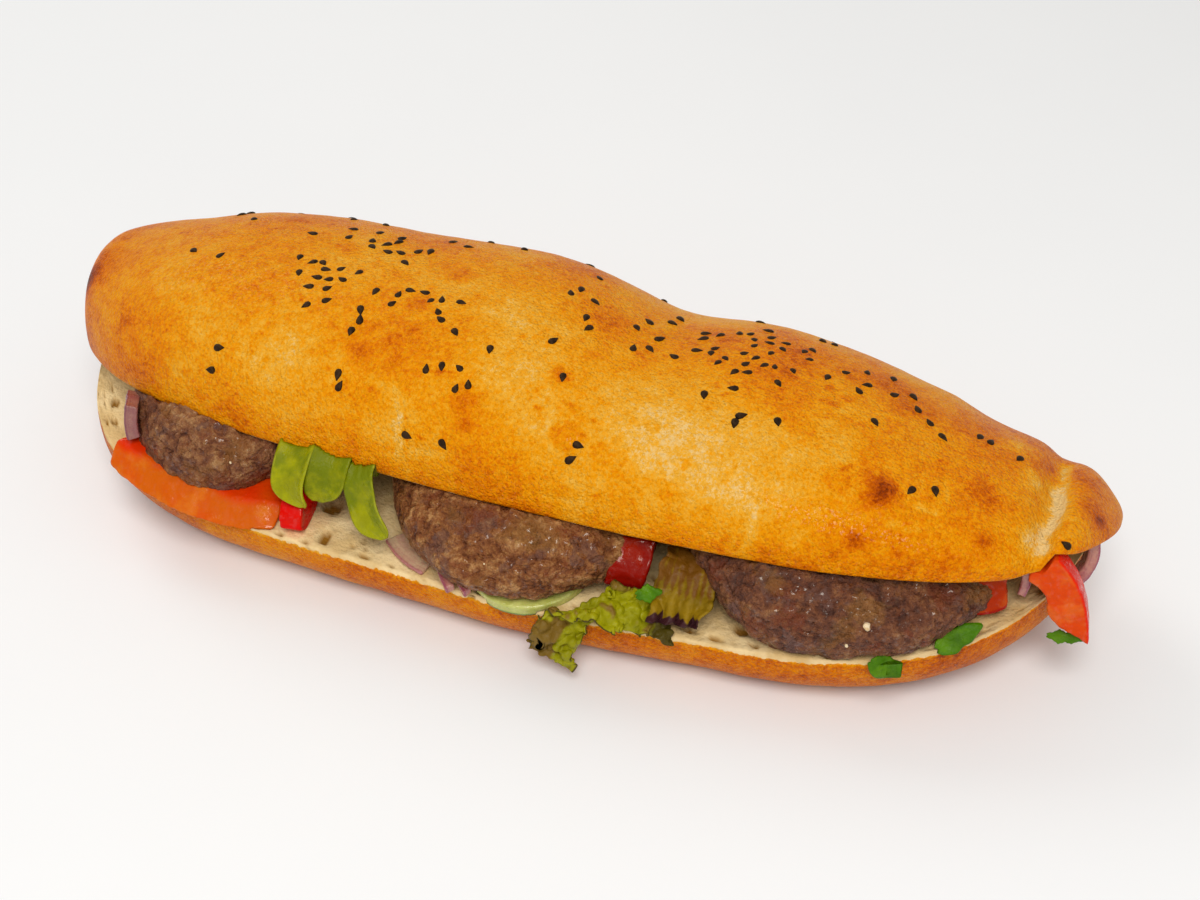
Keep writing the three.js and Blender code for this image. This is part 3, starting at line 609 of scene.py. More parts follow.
class EffectGroup(Finish):
    """A shader node group with named inputs and outputs, built with the same helpers."""

    def __init__(self, name, inputs, outputs):
        self.tree = bpy.data.node_groups.new(name, "ShaderNodeTree")
        for socket, kind, value in [("Place", "NodeSocketVector", None), *inputs]:
            item = self.tree.interface.new_socket(socket, in_out="INPUT", socket_type=kind)
            if value is not None:
                item.default_value = value
        for socket, kind in outputs:
            self.tree.interface.new_socket(socket, in_out="OUTPUT", socket_type=kind)
        self.given = self.tree.nodes.new("NodeGroupInput").outputs
        self.result = self.tree.nodes.new("NodeGroupOutput").inputs
        self.place = self.given["Place"]

    def give(self, output, socket):
        self.tree.links.new(socket, self.result[output])
        return self.tree


FLOAT = "NodeSocketFloat"
COLOUR = "NodeSocketColor"


def make_mottle():
    """Two colours drifting into each other in soft patches with finer patches inside them."""
    inputs = [("First", COLOUR, (1, 1, 1, 1)), ("Second", COLOUR, (0, 0, 0, 1)), ("Scale", FLOAT, 100.0),
              ("Balance", FLOAT, 0.5), ("Softness", FLOAT, 0.15)]
    group = EffectGroup("mottle", inputs, [("Colour", COLOUR), ("Share", FLOAT)])
    wide = group.grain(group.given["Scale"], detail=5.0, rough=0.6)
    low = group.less(group.given["Balance"], group.given["Softness"])
    high = group.sum(group.given["Balance"], group.given["Softness"])
    share = group.between(wide, low, high)
    group.give("Share", share)
    return group.give("Colour", group.mix(share, group.given["First"], group.given["Second"]))


def make_pebbling():
    """Height of a fine uneven surface: rounded grains with a softer swell under them."""
    inputs = [("Grain Scale", FLOAT, 900.0), ("Swell Scale", FLOAT, 200.0), ("Swell Share", FLOAT, 0.5)]
    group = EffectGroup("pebbling", inputs, [("Height", FLOAT)])
    fine = group.grain(group.given["Grain Scale"], detail=4.0, rough=0.6)
    swell = group.grain(group.given["Swell Scale"], detail=2.0)
    return group.give("Height", group.sum(fine, group.times(swell, group.given["Swell Share"])))


def make_wetness():
    """Roughness that falls where juice or fat has gathered in patches."""
    inputs = [("Scale", FLOAT, 250.0), ("Wet", FLOAT, 0.15), ("Dry", FLOAT, 0.5)]
    group = EffectGroup("wetness", inputs, [("Roughness", FLOAT)])
    patches = group.between(group.grain(group.given["Scale"], detail=3.0), 0.42, 0.6)
    span = group.less(group.given["Wet"], group.given["Dry"])
    return group.give("Roughness", group.sum(group.given["Dry"], group.times(patches, span)))


def make_granules():
    """Rounded grains set side by side: their height, and a tone of its own for each."""
    group = EffectGroup("granules", [("Scale", FLOAT, 900.0), ("Warp", FLOAT, 0.0006)],
                        [("Height", FLOAT), ("Tone", FLOAT)])
    noise_node = group.node("ShaderNodeTexNoise", {"Vector": group.place, "Scale": 500.0, "Detail": 2.0})
    shift = group.node("ShaderNodeVectorMath", {0: noise_node.outputs["Color"], 1: (0.5, 0.5, 0.5)},
                       operation="SUBTRACT")
    scaled = group.node("ShaderNodeVectorMath", {0: shift.outputs[0], "Scale": group.given["Warp"]},
                        operation="SCALE")
    warped = group.node("ShaderNodeVectorMath", {0: group.place, 1: scaled.outputs[0]}, operation="ADD")
    cell = group.node("ShaderNodeTexVoronoi", {"Vector": warped.outputs[0], "Scale": group.given["Scale"]})
    tone = group.node("ShaderNodeSeparateColor", {"Color": cell.outputs["Color"]}).outputs["Red"]
    group.give("Height", group.between(cell.outputs["Distance"], 0.0, 0.75, 1.0, 0.0))
    return group.give("Tone", tone)


MOTTLE = make_mottle()
GRANULES = make_granules()
PEBBLING = make_pebbling()
WETNESS = make_wetness()


# ---------------------------------------------------------------- the finishes
def crust_finish():
    """Golden glossy crust, darker where it caught the heat and in painted shade at its back and lip, with a
    painted highlight, over cream crumb in the cut.
    """
    look = Finish("golden crust and crumb", Specular_IOR_Level=0.12, Specular_Tint=(1.0, 0.6, 0.1, 1.0),
                  Coat_Roughness=0.2)
    drift = look.grain(42, detail=3.0, rough=0.5)
    fleck = look.grain(240, detail=5.0, rough=0.7)
    dots = look.group(GRANULES, "Tone", Scale=1500.0)
    wrinkle = look.grain(850, detail=2.0, rough=0.7, warp=1.2)
    freckle = look.between(look.grain(330, detail=4.0, rough=0.6), 0.56, 0.68)
    spread = look.between(look.grain(60, detail=2.0), 0.4, 0.6, 0.3, 1.0)
    # the vertex tone holds the bake, a painted highlight on the dome's front and painted shade at its back
    # and lip
    bake_and_painted_light = look.sum(
        look.mask("bake_and_painted_light"),
        look.between(drift, 0.32, 0.68, -0.09, 0.07),
        look.between(fleck, 0.35, 0.75, -0.06, 0.08),
        look.between(dots, 0.0, 1.0, -0.05, 0.05),
        look.between(wrinkle, 0.36, 0.64, -0.055, 0.055),
        look.times(look.times(freckle, spread), 0.13),
    )
    crust = look.ramp(
        bake_and_painted_light,
        (0.0, (0.80, 0.56, 0.24)),
        (0.16, (0.80, 0.41, 0.04)),
        (0.32, (0.80, 0.31, 0.002)),
        (0.48, (0.72, 0.20, 0.0)),
        (0.62, (0.56, 0.11, 0.0)),
        (0.8, (0.30, 0.04, 0.001)),
        (1.0, (0.09, 0.014, 0.002)),
    )
    crumb_tone = look.mottle((0.88, 0.69, 0.40), (0.70, 0.50, 0.24), 110.0)
    # painted shade: the pores and the darkened crumb toward the right end take a dark brown
    crumb = look.mix(look.mask("pore"), crumb_tone, (0.27, 0.125, 0.018))
    edge = look.grain(500, detail=3.0)
    uneven_edge = look.sum(look.mask("cut"), look.between(edge, 0.3, 0.7, -0.25, 0.25))
    cut = look.between(uneven_edge, 0.42, 0.58)
    leathery = look.group(GRANULES, "Height", Scale=1250.0)
    skin = look.sum(look.pebbles(1900.0, 420.0, 1.2),
                    look.times(leathery, 0.6))
    open_crumb = look.pebbles(900.0, 350.0, 1.2)
    skin_normal = look.bump(skin, 0.00055, 0.9)
    crumb_normal = look.bump(open_crumb, 0.0007, 0.7)
    normal = look.node("ShaderNodeMix", data_type="VECTOR")
    feed(look.tree, normal, {0: cut, 4: skin_normal, 5: crumb_normal})
    glaze = look.between(look.grain(1500, detail=2.0), 0.57, 0.64, 0.0, 0.3)
    bare_crust = look.between(cut, 0, 1, 1.0, 0.0)
    return look.finish(Base_Color=look.mix(cut, crust, crumb), Roughness=look.between(cut, 0, 1, 0.42, 0.8),
                       Coat_Weight=look.times(glaze, bare_crust), Normal=normal.outputs[1])


def seed_finish():
    look = Finish("black seed", Roughness=0.4, Specular_IOR_Level=0.16, Specular_Tint=(1.0, 0.75, 0.5, 1.0))
    colour = look.mottle((0.010, 0.005, 0.003), (0.034, 0.017, 0.008), 900.0)
    height = look.pebbles(2600.0, 900.0, 0.4)
    return look.finish(Base_Color=colour, Normal=look.bump(height, 0.0003, 0.6))


def kofta_finish():
    """Grilled mince: tan grains and dark red-brown crevices that are partly painted light and shade,
    purple-grey char and a greasy shine.
    """
    look = Finish("grilled mince", Specular_IOR_Level=0.22, Coat_Roughness=0.12)
    grains = look.group(GRANULES, "Tone", Scale=620.0, Warp=0.003)
    grain_height = look.group(GRANULES, "Height", Scale=620.0, Warp=0.003)
    tone = look.sum(look.mask("mince_tone_and_shade"),
                    look.between(look.grain(120, detail=4.0, rough=0.6), 0.3, 0.7, -0.15, 0.15),
                    look.between(look.grain(700, detail=5.0, rough=0.8, warp=0.8), 0.3, 0.7, -0.22, 0.22),
                    look.between(grains, 0.0, 1.0, -0.05, 0.05),
                    # painted shade between the granules
                    look.between(grain_height, 0.2, 0.7, -0.06, 0.02))
    meat = look.ramp(
        tone,
        (0.0, (0.040, 0.009, 0.003)),
        (0.28, (0.11, 0.028, 0.007)),
        (0.5, (0.205, 0.065, 0.017)),
        (0.72, (0.31, 0.125, 0.038)),
        (1.0, (0.52, 0.28, 0.11)),
    )
    char = look.patches(105.0, 0.58, 0.02)
    meat = look.mix(look.sum(look.mask("char"), look.times(char, 0.5)), meat, (0.135, 0.064, 0.052))
    red = look.patches(170.0, 0.57, 0.04)
    meat = look.mix(look.times(red, 0.5), meat, (0.17, 0.030, 0.008))
    olive = look.patches(85.0, 0.58, 0.05)
    meat = look.mix(look.times(olive, 0.4), meat, (0.27, 0.135, 0.03))
    roughness = look.wetness(620.0, 0.24, 0.55)
    height = look.sum(look.pebbles(1300.0, 520.0, 1.2),
                      look.times(grain_height, 0.5))
    glint = look.between(look.grain(800, detail=2.0), 0.57, 0.64, 0.0, 0.7)
    return look.finish(Base_Color=meat, Roughness=roughness, Coat_Weight=glint,
                       Normal=look.bump(height, 0.001, 0.9))


def tomato_finish(name, skin, flesh, pale):
    """Wet tomato: glossy skin, and softly veined flesh that is paler in its walls."""
    look = Finish(name, Specular_IOR_Level=0.08, Coat_Roughness=0.07)
    veins = look.patches(150.0, 0.56, 0.10)
    tone = look.mix(look.times(veins, 0.75), flesh, pale)
    tone = look.mix(look.between(look.grain(90, detail=2.0), 0.4, 0.7, 0.0, 0.35), tone, skin)
    colour = look.mix(look.between(look.mask("skin"), 0.05, 0.95), tone, skin)
    height = look.pebbles(900.0, 220.0, 1.5)
    shine = look.between(look.grain(750, detail=3.0, rough=0.6), 0.54, 0.62, 0.0, 0.5)
    roughness = look.wetness(300.0, 0.12, 0.4)
    return look.finish(Base_Color=colour, Roughness=roughness, Coat_Weight=shine,
                       Normal=look.bump(height, 0.0005, 0.5))


def leaf_finish(name, face, other, edge, rough=0.4):
    """A leaf of two tones that drift into each other, with an edge of its own colour and soft veins; on some
    leaves the darker tone and the edge carry painted shade.
    """
    look = Finish(name, Specular_IOR_Level=0.15)
    shaded = tuple(channel * 0.72 for channel in face)
    patches = look.mottle(face, shaded, 150.0)
    drift = look.between(look.grain(230, detail=4.0), 0.3, 0.7, -0.25, 0.25)
    colour = look.mix(look.between(look.sum(look.mask("tone"), drift), 0.2, 0.8), patches, other)
    hem = look.between(look.sum(look.mask("hem"), look.times(drift, 0.6)), 0.3, 0.7)
    colour = look.mix(hem, colour, edge)
    offset = look.node("ShaderNodeMath", {0: look.mask("across")}, operation="ABSOLUTE").outputs[0]
    slant = look.sum(look.times(look.mask("along"), 7.0), look.times(offset, -2.0))
    wave = look.node("ShaderNodeMath", {0: look.times(slant, 2 * math.pi)}, operation="SINE").outputs[0]
    veins = look.sum(look.between(wave, 0.7, 1.0, 0.0, 0.5), look.between(offset, 0.03, 0.14, 1.0, 0.0))
    height = look.pebbles(1400.0, 420.0, 1.2)
    normal = look.bump(look.sum(height, look.times(veins, 0.25)), 0.0004, 0.6)
    roughness = look.wetness(280.0, rough - 0.15, rough + 0.1)
    return look.finish(Base_Color=colour, Roughness=roughness, Normal=normal)


def onion_finish(name, flesh_one, flesh_two, skin):
    """Pink juicy layers with a darker skin side."""
    look = Finish(name, Subsurface_Weight=0.3, Subsurface_Radius=(0.003, 0.0015, 0.002),
                  Coat_Roughness=0.1, Specular_IOR_Level=0.6)
    flesh = look.mottle(flesh_one, flesh_two, 230.0)
    colour = look.mix(look.mask("skin"), flesh, skin)
    roughness = look.wetness(400.0, 0.12, 0.32)
    height = look.pebbles(900.0, 400.0, 0.8)
    shine = look.between(look.mask("skin"), 0, 1, 0.3, 0.5)
    return look.finish(Base_Color=colour, Roughness=roughness, Coat_Weight=shine,
                       Normal=look.bump(height, 0.0004, 0.5))


def cucumber_finish():
    look = Finish("cucumber", Subsurface_Weight=0.25, Subsurface_Radius=(0.002, 0.003, 0.001),
                  Coat_Roughness=0.1)
    flesh = look.mottle((0.56, 0.58, 0.17), (0.44, 0.47, 0.10), 240.0)
    colour = look.mix(look.mask("skin"), flesh, (0.10, 0.20, 0.02))
    roughness = look.wetness(350.0, 0.12, 0.35)
    height = look.pebbles(1100.0, 500.0, 0.8)
    shine = look.between(look.mask("skin"), 0, 1, 0.4, 0.2)
    return look.finish(Base_Color=colour, Roughness=roughness, Coat_Weight=shine,
                       Normal=look.bump(height, 0.0004, 0.6))


def crumb_bit_finish():
    look = Finish("loose crumbs", Roughness=0.9)
    colour = look.mottle((0.82, 0.70, 0.50), (0.62, 0.42, 0.2), 700.0)
    height = look.pebbles(2400.0, 900.0, 0.8)
    return look.finish(Base_Color=colour, Normal=look.bump(height, 0.0003, 0.8))


# ---------------------------------------------------------------- bread roll
def ring_places():
    """s of every ring: even along the roll and closer towards the tips."""
    end = [END_SHARE * (1 - math.cos(math.pi / 2 * i / END_RINGS)) for i in range(END_RINGS)]
    left = [-1 + 2e-5 + gap for gap in end]
    middle = np.linspace(-1 + END_SHARE, 1 - END_SHARE, MIDDLE_RINGS)
    return np.array(left + list(middle) + [-place for place in reversed(left)])


def ring_bands():
    """For each step round a ring: the band it belongs to and how far along it."""
    dome = [("dome", i / STEPS["dome"]) for i in range(STEPS["dome"] + 1)]
    upper = [("upper", (i / STEPS["upper"]) ** 1.5) for i in range(1, STEPS["upper"] + 1)]
    lower = [("lower", 1 - (1 - i / STEPS["lower"]) ** 1.6) for i in range(STEPS["lower"] + 1)]
    under = [("under", i / STEPS["under"]) for i in range(1, STEPS["under"])]
    return dome + upper + lower + under


def roll_surface():
    s = ring_places()[:, None]
    bands = ring_bands()
    makers = {"dome": dome_points, "upper": upper_cut_points, "lower": lower_cut_points,
              "under": under_points}
    parts = []
    for name in STEPS:
        t = np.array([[step for band, step in bands if band == name]])
        parts.append(makers[name](s + 0 * t, t + 0 * s))
    return s, bands, np.concatenate(parts, axis=1)


def ring_normals(surface):
    along = np.gradient(surface, axis=0)
    around = (np.roll(surface, -1, axis=1) - np.roll(surface, 1, axis=1)) / 2
    return unit(np.cross(around, along))


def soften_ring(surface, corner, reach, times):
    """Rounds the corner of every ring at one step."""
    size = surface.shape[1]
    steps = [(corner + i) % size for i in range(-reach, reach + 1)]
    for _ in range(times):
        before = surface[:, [(i - 1) % size for i in steps]]
        after = surface[:, [(i + 1) % size for i in steps]]
        surface[:, steps] = surface[:, steps] * 0.5 + (before + after) * 0.25


def spot_centre(x, turn):
    return dome_points(np.array([x / HALF_LENGTH]), np.array([turn]))[0]


def baked(surface, names, steps):
    """Tone of the crust, with its painted highlight and painted shade, and how far it is raised (mm), at each
    point.
    """
    wide = ripple(surface, SWELLS["wide"], 3)
    fine = ripple(surface, SWELLS["fine"], 2, 4.0)
    bake_and_painted_light = np.full(surface.shape[:2], PLAIN_BAKE)
    raised = SWELLS["wide_up"] * wide + SWELLS["fine_up"] * fine
    for x, turn, reach, dark, up in MARKS:
        away = np.linalg.norm(surface - spot_centre(x, turn), axis=-1) / reach * (1 + 0.3 * fine)
        spot = np.exp(-(away ** 2.2))
        bake_and_painted_light = bake_and_painted_light + MARK_DEPTH * dark * spot
        raised = raised + up * spot
    for x, turn, radius in RINGS:
        away = np.linalg.norm(surface - spot_centre(x, turn), axis=-1) / radius * (1 + 0.15 * fine)
        bake_and_painted_light = bake_and_painted_light + RING_DARK * np.exp(-(((away - 1) / 0.3) ** 2))
        raised = raised + 0.12 * np.exp(-(away ** 4))
    for x, turn, reach_x, reach_round, pale in STRETCHES:
        off = surface - spot_centre(x, turn)
        lean = off[..., 0] + 0.8 * fine + 0.25 * np.hypot(off[..., 1], off[..., 2])
        line = np.exp(-((lean / reach_x) ** 2) - (off[..., 1] ** 2 + off[..., 2] ** 2) / reach_round ** 2)
        bake_and_painted_light = bake_and_painted_light - pale * line
        raised = raised - 0.25 * line
    crease = crease_share(surface, np.where(names == "dome", steps, -9.0), wide, fine)
    bake_and_painted_light = bake_and_painted_light - CREASE["pale"] * crease
    raised = raised - CREASE["deep"] * crease
    # The crust is darker at its back and towards the lip, painted shade where the dome turns away from the
    # light, and in a faint band across the top.
    edge_shade_and_band = (0.20 * np.exp(-((steps / 0.2) ** 2)) + 0.08 * np.exp(-(((steps - 0.4) / 0.07) ** 2))
                 + 0.11 * np.exp(-(((steps - 1.0) / 0.12) ** 2)))
    bake_and_painted_light = bake_and_painted_light + (names == "dome") * edge_shade_and_band * (1 + 0.6 * wide) + (names == "under") * UNDER_BAKE
    bake_and_painted_light = bake_and_painted_light + END_BAKE * (1 - end_round(ring_places()[:, None], END_FULL)) + 0.05 * wide
    return bake_and_painted_light, raised, wide, fine


def crease_share(surface, turns, wide, fine):
    """1 along the wavering crease that sets off the nose of the roll, 0 away from it."""
    off = (surface[..., 0] - CREASE["x"] - CREASE["lean"] * turns) / CREASE["wide"] + 1.1 * fine + 0.8 * wide
    crease = np.exp(-np.abs(off) ** 1.5) * smoothstep(turns, CREASE["from"], CREASE["from"] + 0.08)
    return crease * smoothstep(-turns, -CREASE["to"], 0.08 - CREASE["to"])


def open_pores(crumb_face, on_lower, fine):
    """1 in the pores of the crumb: small ones everywhere, and the large ones in the lower face."""
    near, _ = cells(crumb_face, PORES["apart"])
    size_of_pore = PORES["size"] + PORES["size_spread"] * ripple(crumb_face, 6, 1, 9.0)
    pore = smoothstep(size_of_pore - near, 0.0, 0.16)
    for x, y, reach_x, reach_y in HOLES:
        away = np.hypot((crumb_face[..., 0] - x) / reach_x, (crumb_face[..., 1] - y) / reach_y)
        pore = np.maximum(pore, on_lower * smoothstep(1.25 - away * (1 + 0.25 * fine), 0, 0.5))
    return pore


def bread_roll(material):
    s, bands, surface = roll_surface()
    names = np.array([band for band, _ in bands])
    steps = np.array([step for _, step in bands])
    lip = STEPS["dome"]
    rim = STEPS["dome"] + STEPS["upper"] + STEPS["lower"] + 1
    for corner, reach, times in ((lip, 2, 5), (rim, 3, 6), (0, 6, 10)):
        soften_ring(surface, corner, reach, times)
    normals = ring_normals(surface)
    cut_band = np.isin(names, ("upper", "lower"))
    places = np.arange(surface.shape[1])
    from_lip = np.minimum(np.abs(places - lip), np.abs(places - rim))
    cut = np.where(cut_band, np.minimum(1, 0.5 + from_lip * 0.5), np.maximum(0, 0.5 - from_lip * 0.5))
    cut = np.broadcast_to(cut, surface.shape[:2])
    fade = np.minimum(1, 1.5 * end_round(s, END_FULL)) + 0 * cut
    on_base = smoothstep(surface[..., 2], 0.0, 3.0)
    bake_and_painted_light, raised, wide, fine = baked(surface, names, steps)

    crumb_face = surface[:, cut_band]
    on_lower = (names[cut_band] == "lower")[None, :]
    pore = np.zeros(surface.shape[:2])
    pore[:, cut_band] = open_pores(crumb_face, on_lower, fine[:, cut_band])
    pore = pore * cut
    crumb_rough = np.zeros(surface.shape[:2])
    crumb_rough[:, cut_band] = 0.55 * ripple(crumb_face, 6, 3, 2.0) + 0.12 * ripple(crumb_face, 1.6, 1, 5.0)
    # painted shade: the crumb toward the right end is darkened with the pore colour
    shade_toward_end = smoothstep(surface[..., 0], RIGHT_CRUMB_SHADE["from"], RIGHT_CRUMB_SHADE["to"])
    painted_crumb_shade = RIGHT_CRUMB_SHADE["share"] * shade_toward_end * cut * (0.7 + 0.6 * wide)
    height = (1 - cut) * raised * on_base + cut * (crumb_rough - PORES["deep"] * pore) * fade
    surface = surface + normals * (height * fade)[..., None]
    surface[..., 2] = np.maximum(surface[..., 2], 0)

    surface[..., 0] *= SHOWN_SHARE
    # the pore mask is painted shade: in the pores and over the crumb toward the right end
    masks = {"bake_and_painted_light": bake_and_painted_light, "cut": cut, "pore": np.maximum(pore, painted_crumb_shade)}
    surface, masks = with_caps(surface, masks)
    surface = np.concatenate([surface, surface[:, :1]], axis=1)
    masks = {name: np.concatenate([values, values[:, :1]], axis=1) for name, values in masks.items()}
    bm = grid_bmesh(surface, masks)
    bmesh.ops.recalc_face_normals(bm, faces=bm.faces)
    return add_piece("bread_roll_crust_and_crumb", bm, material, "crust", "bread_roll")


def with_caps(surface, masks):
    """Adds rings that draw each tip together to a point."""
    def cap(ring):
        centre = ring.mean(axis=0)
        shares = [math.sin(math.pi / 2 * i / CAP_RINGS) for i in range(CAP_RINGS)]
        return np.array([centre + (ring - centre) * share for share in shares])

    def flat(ring):
        return np.repeat(ring[None], CAP_RINGS, axis=0)

    left, right = cap(surface[0]), cap(surface[-1])[::-1]
    surface = np.concatenate([left, surface, right])
    masks = {name: np.concatenate([flat(v[0]), v, flat(v[-1])]) for name, v in masks.items()}
    return surface, masks


# ---------------------------------------------------------------- seeds
def seed_places():
    """The solids' rule: loose groups of seeds that keep apart from each other."""
    draw = random_draws(SEED["draw"])
    places = []
    for middle_x, middle_turn, spread_x, spread_turn, count in SEED_GROUPS:
        placed_here = 0
        for _ in range(SEED["most_tries"]):
            if placed_here == count:
                break
            x = middle_x + spread_x * 2 * (draw() + draw() + draw() - 1.5)
            turn = middle_turn + spread_turn * 2 * (draw() + draw() + draw() - 1.5)
            yaw = 2 * math.pi * draw()
            point = spot_centre(x, turn)
            if all(np.linalg.norm(other[3] - point) > SEED["apart"] for other in places):
                places.append((x, turn, yaw, point))
                placed_here += 1
    return places


def seeds(material):
    """Drop-shaped seeds, each laid along the crust with a heading of its own."""
    bm = bmesh.new()
    draw = random_draws(SEED["draw"])
    step = SEED["step"]
    for x, turn, yaw, point in seed_places():
        made = bmesh.ops.create_icosphere(bm, subdivisions=2, radius=1)["verts"]
        along = spot_centre(x + step * HALF_LENGTH, turn) - point
        around = spot_centre(x, turn + step) - point
        up = unit(np.cross(around, along))
        along = unit(along)
        side = np.cross(up, along)
        length = SEED["long"] * (0.9 + 0.2 * draw())
        for vert in made:
            u, v, w = vert.co
            narrowing = max(0.35, min(1, 0.92 * (1 - u) ** 0.45))
            pinch = 1 - SEED["taper"] * u
            ahead, beside, above = u * length, v * SEED["wide"] * pinch * narrowing, w * SEED["high"] * pinch
            place = (point + along * (ahead * math.cos(yaw) - beside * math.sin(yaw))
                     + side * (ahead * math.sin(yaw) + beside * math.cos(yaw)) + up * (above - SEED["sunk"]))
            vert.co = place * np.array([SHOWN_SHARE, 1, 1])
    return add_piece("black_seeds", bm, material, "crust", "bread_roll")


# ---------------------------------------------------------------- patties
def mince_relief(seat):
    """What makes up the surface of the mince, each as a share: clumps, cracks, creases, grains, swells."""
    size = MINCE_SIZE
    warp = np.stack([ripple(seat, size["swirl"], 2, k) for k in (0.0, 5.0, 9.0)], axis=1) * MINCE_SWIRL
    near, second = cells(seat + warp, size["clump"])
    return {
        "clump": 1 - near ** 2 * 1.5,
        "crack": smoothstep(0.10 - (second - near), 0, 0.10),
        "crease": smoothstep(0.05 - np.abs(ripple(seat + warp, size["crease"], 2, 3.0)), 0, 0.05),
        "grain": ripple(seat, size["grain"], 3, 6.0),
        "broad": ripple(seat, size["broad"], 2, 3.0),
    }


def patty(side, material):
    centre, size, turn, seed = PATTY[side]
    draw = random_draws(seed)
    lumps = []
    for _ in range(LUMPS["count"]):
        high = 2 * draw() - 1
        angle = 2 * math.pi * draw()
        wide = math.sqrt(1 - high * high)
        towards = unit(np.array([wide * math.cos(angle), wide * math.sin(angle), high * 0.6]))
        lumps.append((towards, LUMPS["reach"] * (0.6 + 0.8 * draw()), LUMPS["height"] * (1.6 * draw() - 0.6)))
    bm = bmesh.new()
    bmesh.ops.create_icosphere(bm, subdivisions=7, radius=1)
    ways = unit(vert_points(bm))
    radius = np.ones(len(ways))
    for towards, reach, height in lumps:
        away = np.arccos(np.clip(ways @ towards, -1, 1)) / reach
        radius += height * np.exp(-away * away)
    form = signed_power(ways, PATTY_SQUARE) * radius[:, None] * np.array(size) / 2
    move_verts(bm, form)
    normals = vert_normals(bm)
    mince = mince_relief(form + seed * 13.7)
    height = sum(MINCE_HEIGHT[part] * share for part, share in mince.items()) - MINCE_SUNK
    points = placed(form + normals * height[:, None], centre, (PATTY_NOSE_DOWN, 0, turn))
    move_verts(bm, pressed(points))
    # tone of the mince, with painted light and shade that follow its relief
    mince_tone_and_shade = PLAIN_MINCE + sum(MINCE_LIGHT_AND_SHADE[part] * share for part, share in mince.items())
    set_mask(bm, "mince_tone_and_shade", np.clip(mince_tone_and_shade + PATTY_TONE_AND_SHADE[side], 0, 1))
    set_mask(bm, "char", np.full(len(points), PATTY_CHAR[side]))
    return add_piece(f"minced_patty_{side}", bm, material, "kofta", f"kofta_patty_{side}")


# ---------------------------------------------------------------- slices, wedges and rings cut from them
def outline_arc(bm, radius_x, radius_y, start, end):
    """An open run of edges along an elliptical arc (degrees)."""
    first = bm.verts.new((math.cos(math.radians(start)), math.sin(math.radians(start)), 0))
    turn = math.radians(end - start)
    run = bmesh.ops.spin(bm, geom=[first], cent=(0, 0, 0), axis=(0, 0, 1), dvec=(0, 0, 0), angle=turn,
                         steps=ARC_STEPS["slice"], use_merge=False, use_normal_flip=False,
                         use_duplicate=False)
    last = [item for item in run["geom_last"] if isinstance(item, bmesh.types.BMVert)][0]
    bmesh.ops.scale(bm, vec=(radius_x, radius_y, 1), verts=bm.verts)
    return first, last


def thicken(bm, thickness):
    """Gives a flat face in Z = 0 its thickness, about that plane."""
    faces = list(bm.faces)
    bmesh.ops.translate(bm, verts=bm.verts, vec=(0, 0, -thickness / 2))
    grown = bmesh.ops.extrude_face_region(bm, geom=faces, use_keep_orig=True)["geom"]
    verts = [item for item in grown if isinstance(item, bmesh.types.BMVert)]
    bmesh.ops.translate(bm, verts=verts, vec=(0, 0, thickness))
    bmesh.ops.recalc_face_normals(bm, faces=bm.faces)
    return bm


def close_outline(bm, first, last, between):
    """Joins an open run of edges through the given points and fills it."""
    chain = [last] + [bm.verts.new((x, y, 0)) for x, y in between] + [first]
    for a, b in zip(chain, chain[1:]):
        bm.edges.new((a, b))
    bmesh.ops.contextual_create(bm, geom=bm.edges)
    return bm


def tomato_slab(radius_x, radius_y, start, end, back, thickness):
    bm = bmesh.new()
    first, last = outline_arc(bm, radius_x, radius_y, start, end)
    close_outline(bm, first, last, [(last.co.x * 0.9, back), (first.co.x * 0.7, back)])
    return thicken(bm, thickness)


def ring_slab(radius, width, start, end, thickness):
    """A piece of an onion layer: a short edge swept round the arc, then given its thickness."""
    bm = bmesh.new()
    way = Vector((math.cos(math.radians(start)), math.sin(math.radians(start)), 0))
    outer, inner = bm.verts.new(way * radius), bm.verts.new(way * (radius - width))
    edge = bm.edges.new((outer, inner))
    bmesh.ops.spin(bm, geom=[outer, inner, edge], cent=(0, 0, 0), axis=(0, 0, 1), dvec=(0, 0, 0),
                   angle=math.radians(end - start), steps=ARC_STEPS["ring"], use_merge=False,
                   use_normal_flip=False, use_duplicate=False)
    return thicken(bm, thickness)


def cut_piece(name, bm, voxel, skin_of, relief_of, centre, tilt, material, slot, lean=None, aside=None,
              soft=4):
    """Evens out a slab, lays its skin mask and relief on it, then places and presses it."""
    bm = remeshed(bm, voxel, soft)
    local = vert_points(bm)
    if lean:
        local = lean(local)
        move_verts(bm, local)
    normals = vert_normals(bm)
    skin = skin_of(local, normals)
    local = local + normals * relief_of(local, skin)[:, None]
    set_mask(bm, "skin", skin)
    points = placed(local, centre, tilt)
    if aside:
        height, share = aside
        points[:, 0] += share * (points[:, 2] - height)
    move_verts(bm, pressed(points))
    return add_piece(name + "_dressed", bm, material, slot, name)


def top_skin(local, normals):
    """1 on the upper side of a slice that lies flat, fading down its cut edge."""
    uneven = 1.3 * ripple(local, 9, 2, 3.0) + 1.2 * ripple(local, 30, 1, 5.0)
    return 0.9 * smoothstep(local[:, 2] + uneven, 0.4, 3.4) * smoothstep(normals[:, 2], -0.1, 0.9)


def slanted(radius_x, radius_y, thickness, share):
    """Leans the cut face back: the upper side is smaller than the lower one."""
    def lean(local):
        out = np.hypot(local[:, 0] / radius_x, local[:, 1] / radius_y)
        high = (local[:, 2] + thickness / 2) / thickness
        local[:, 1] *= 1 - share * smoothstep(out, 0.7, 1.0) * high
        return local
    return lean


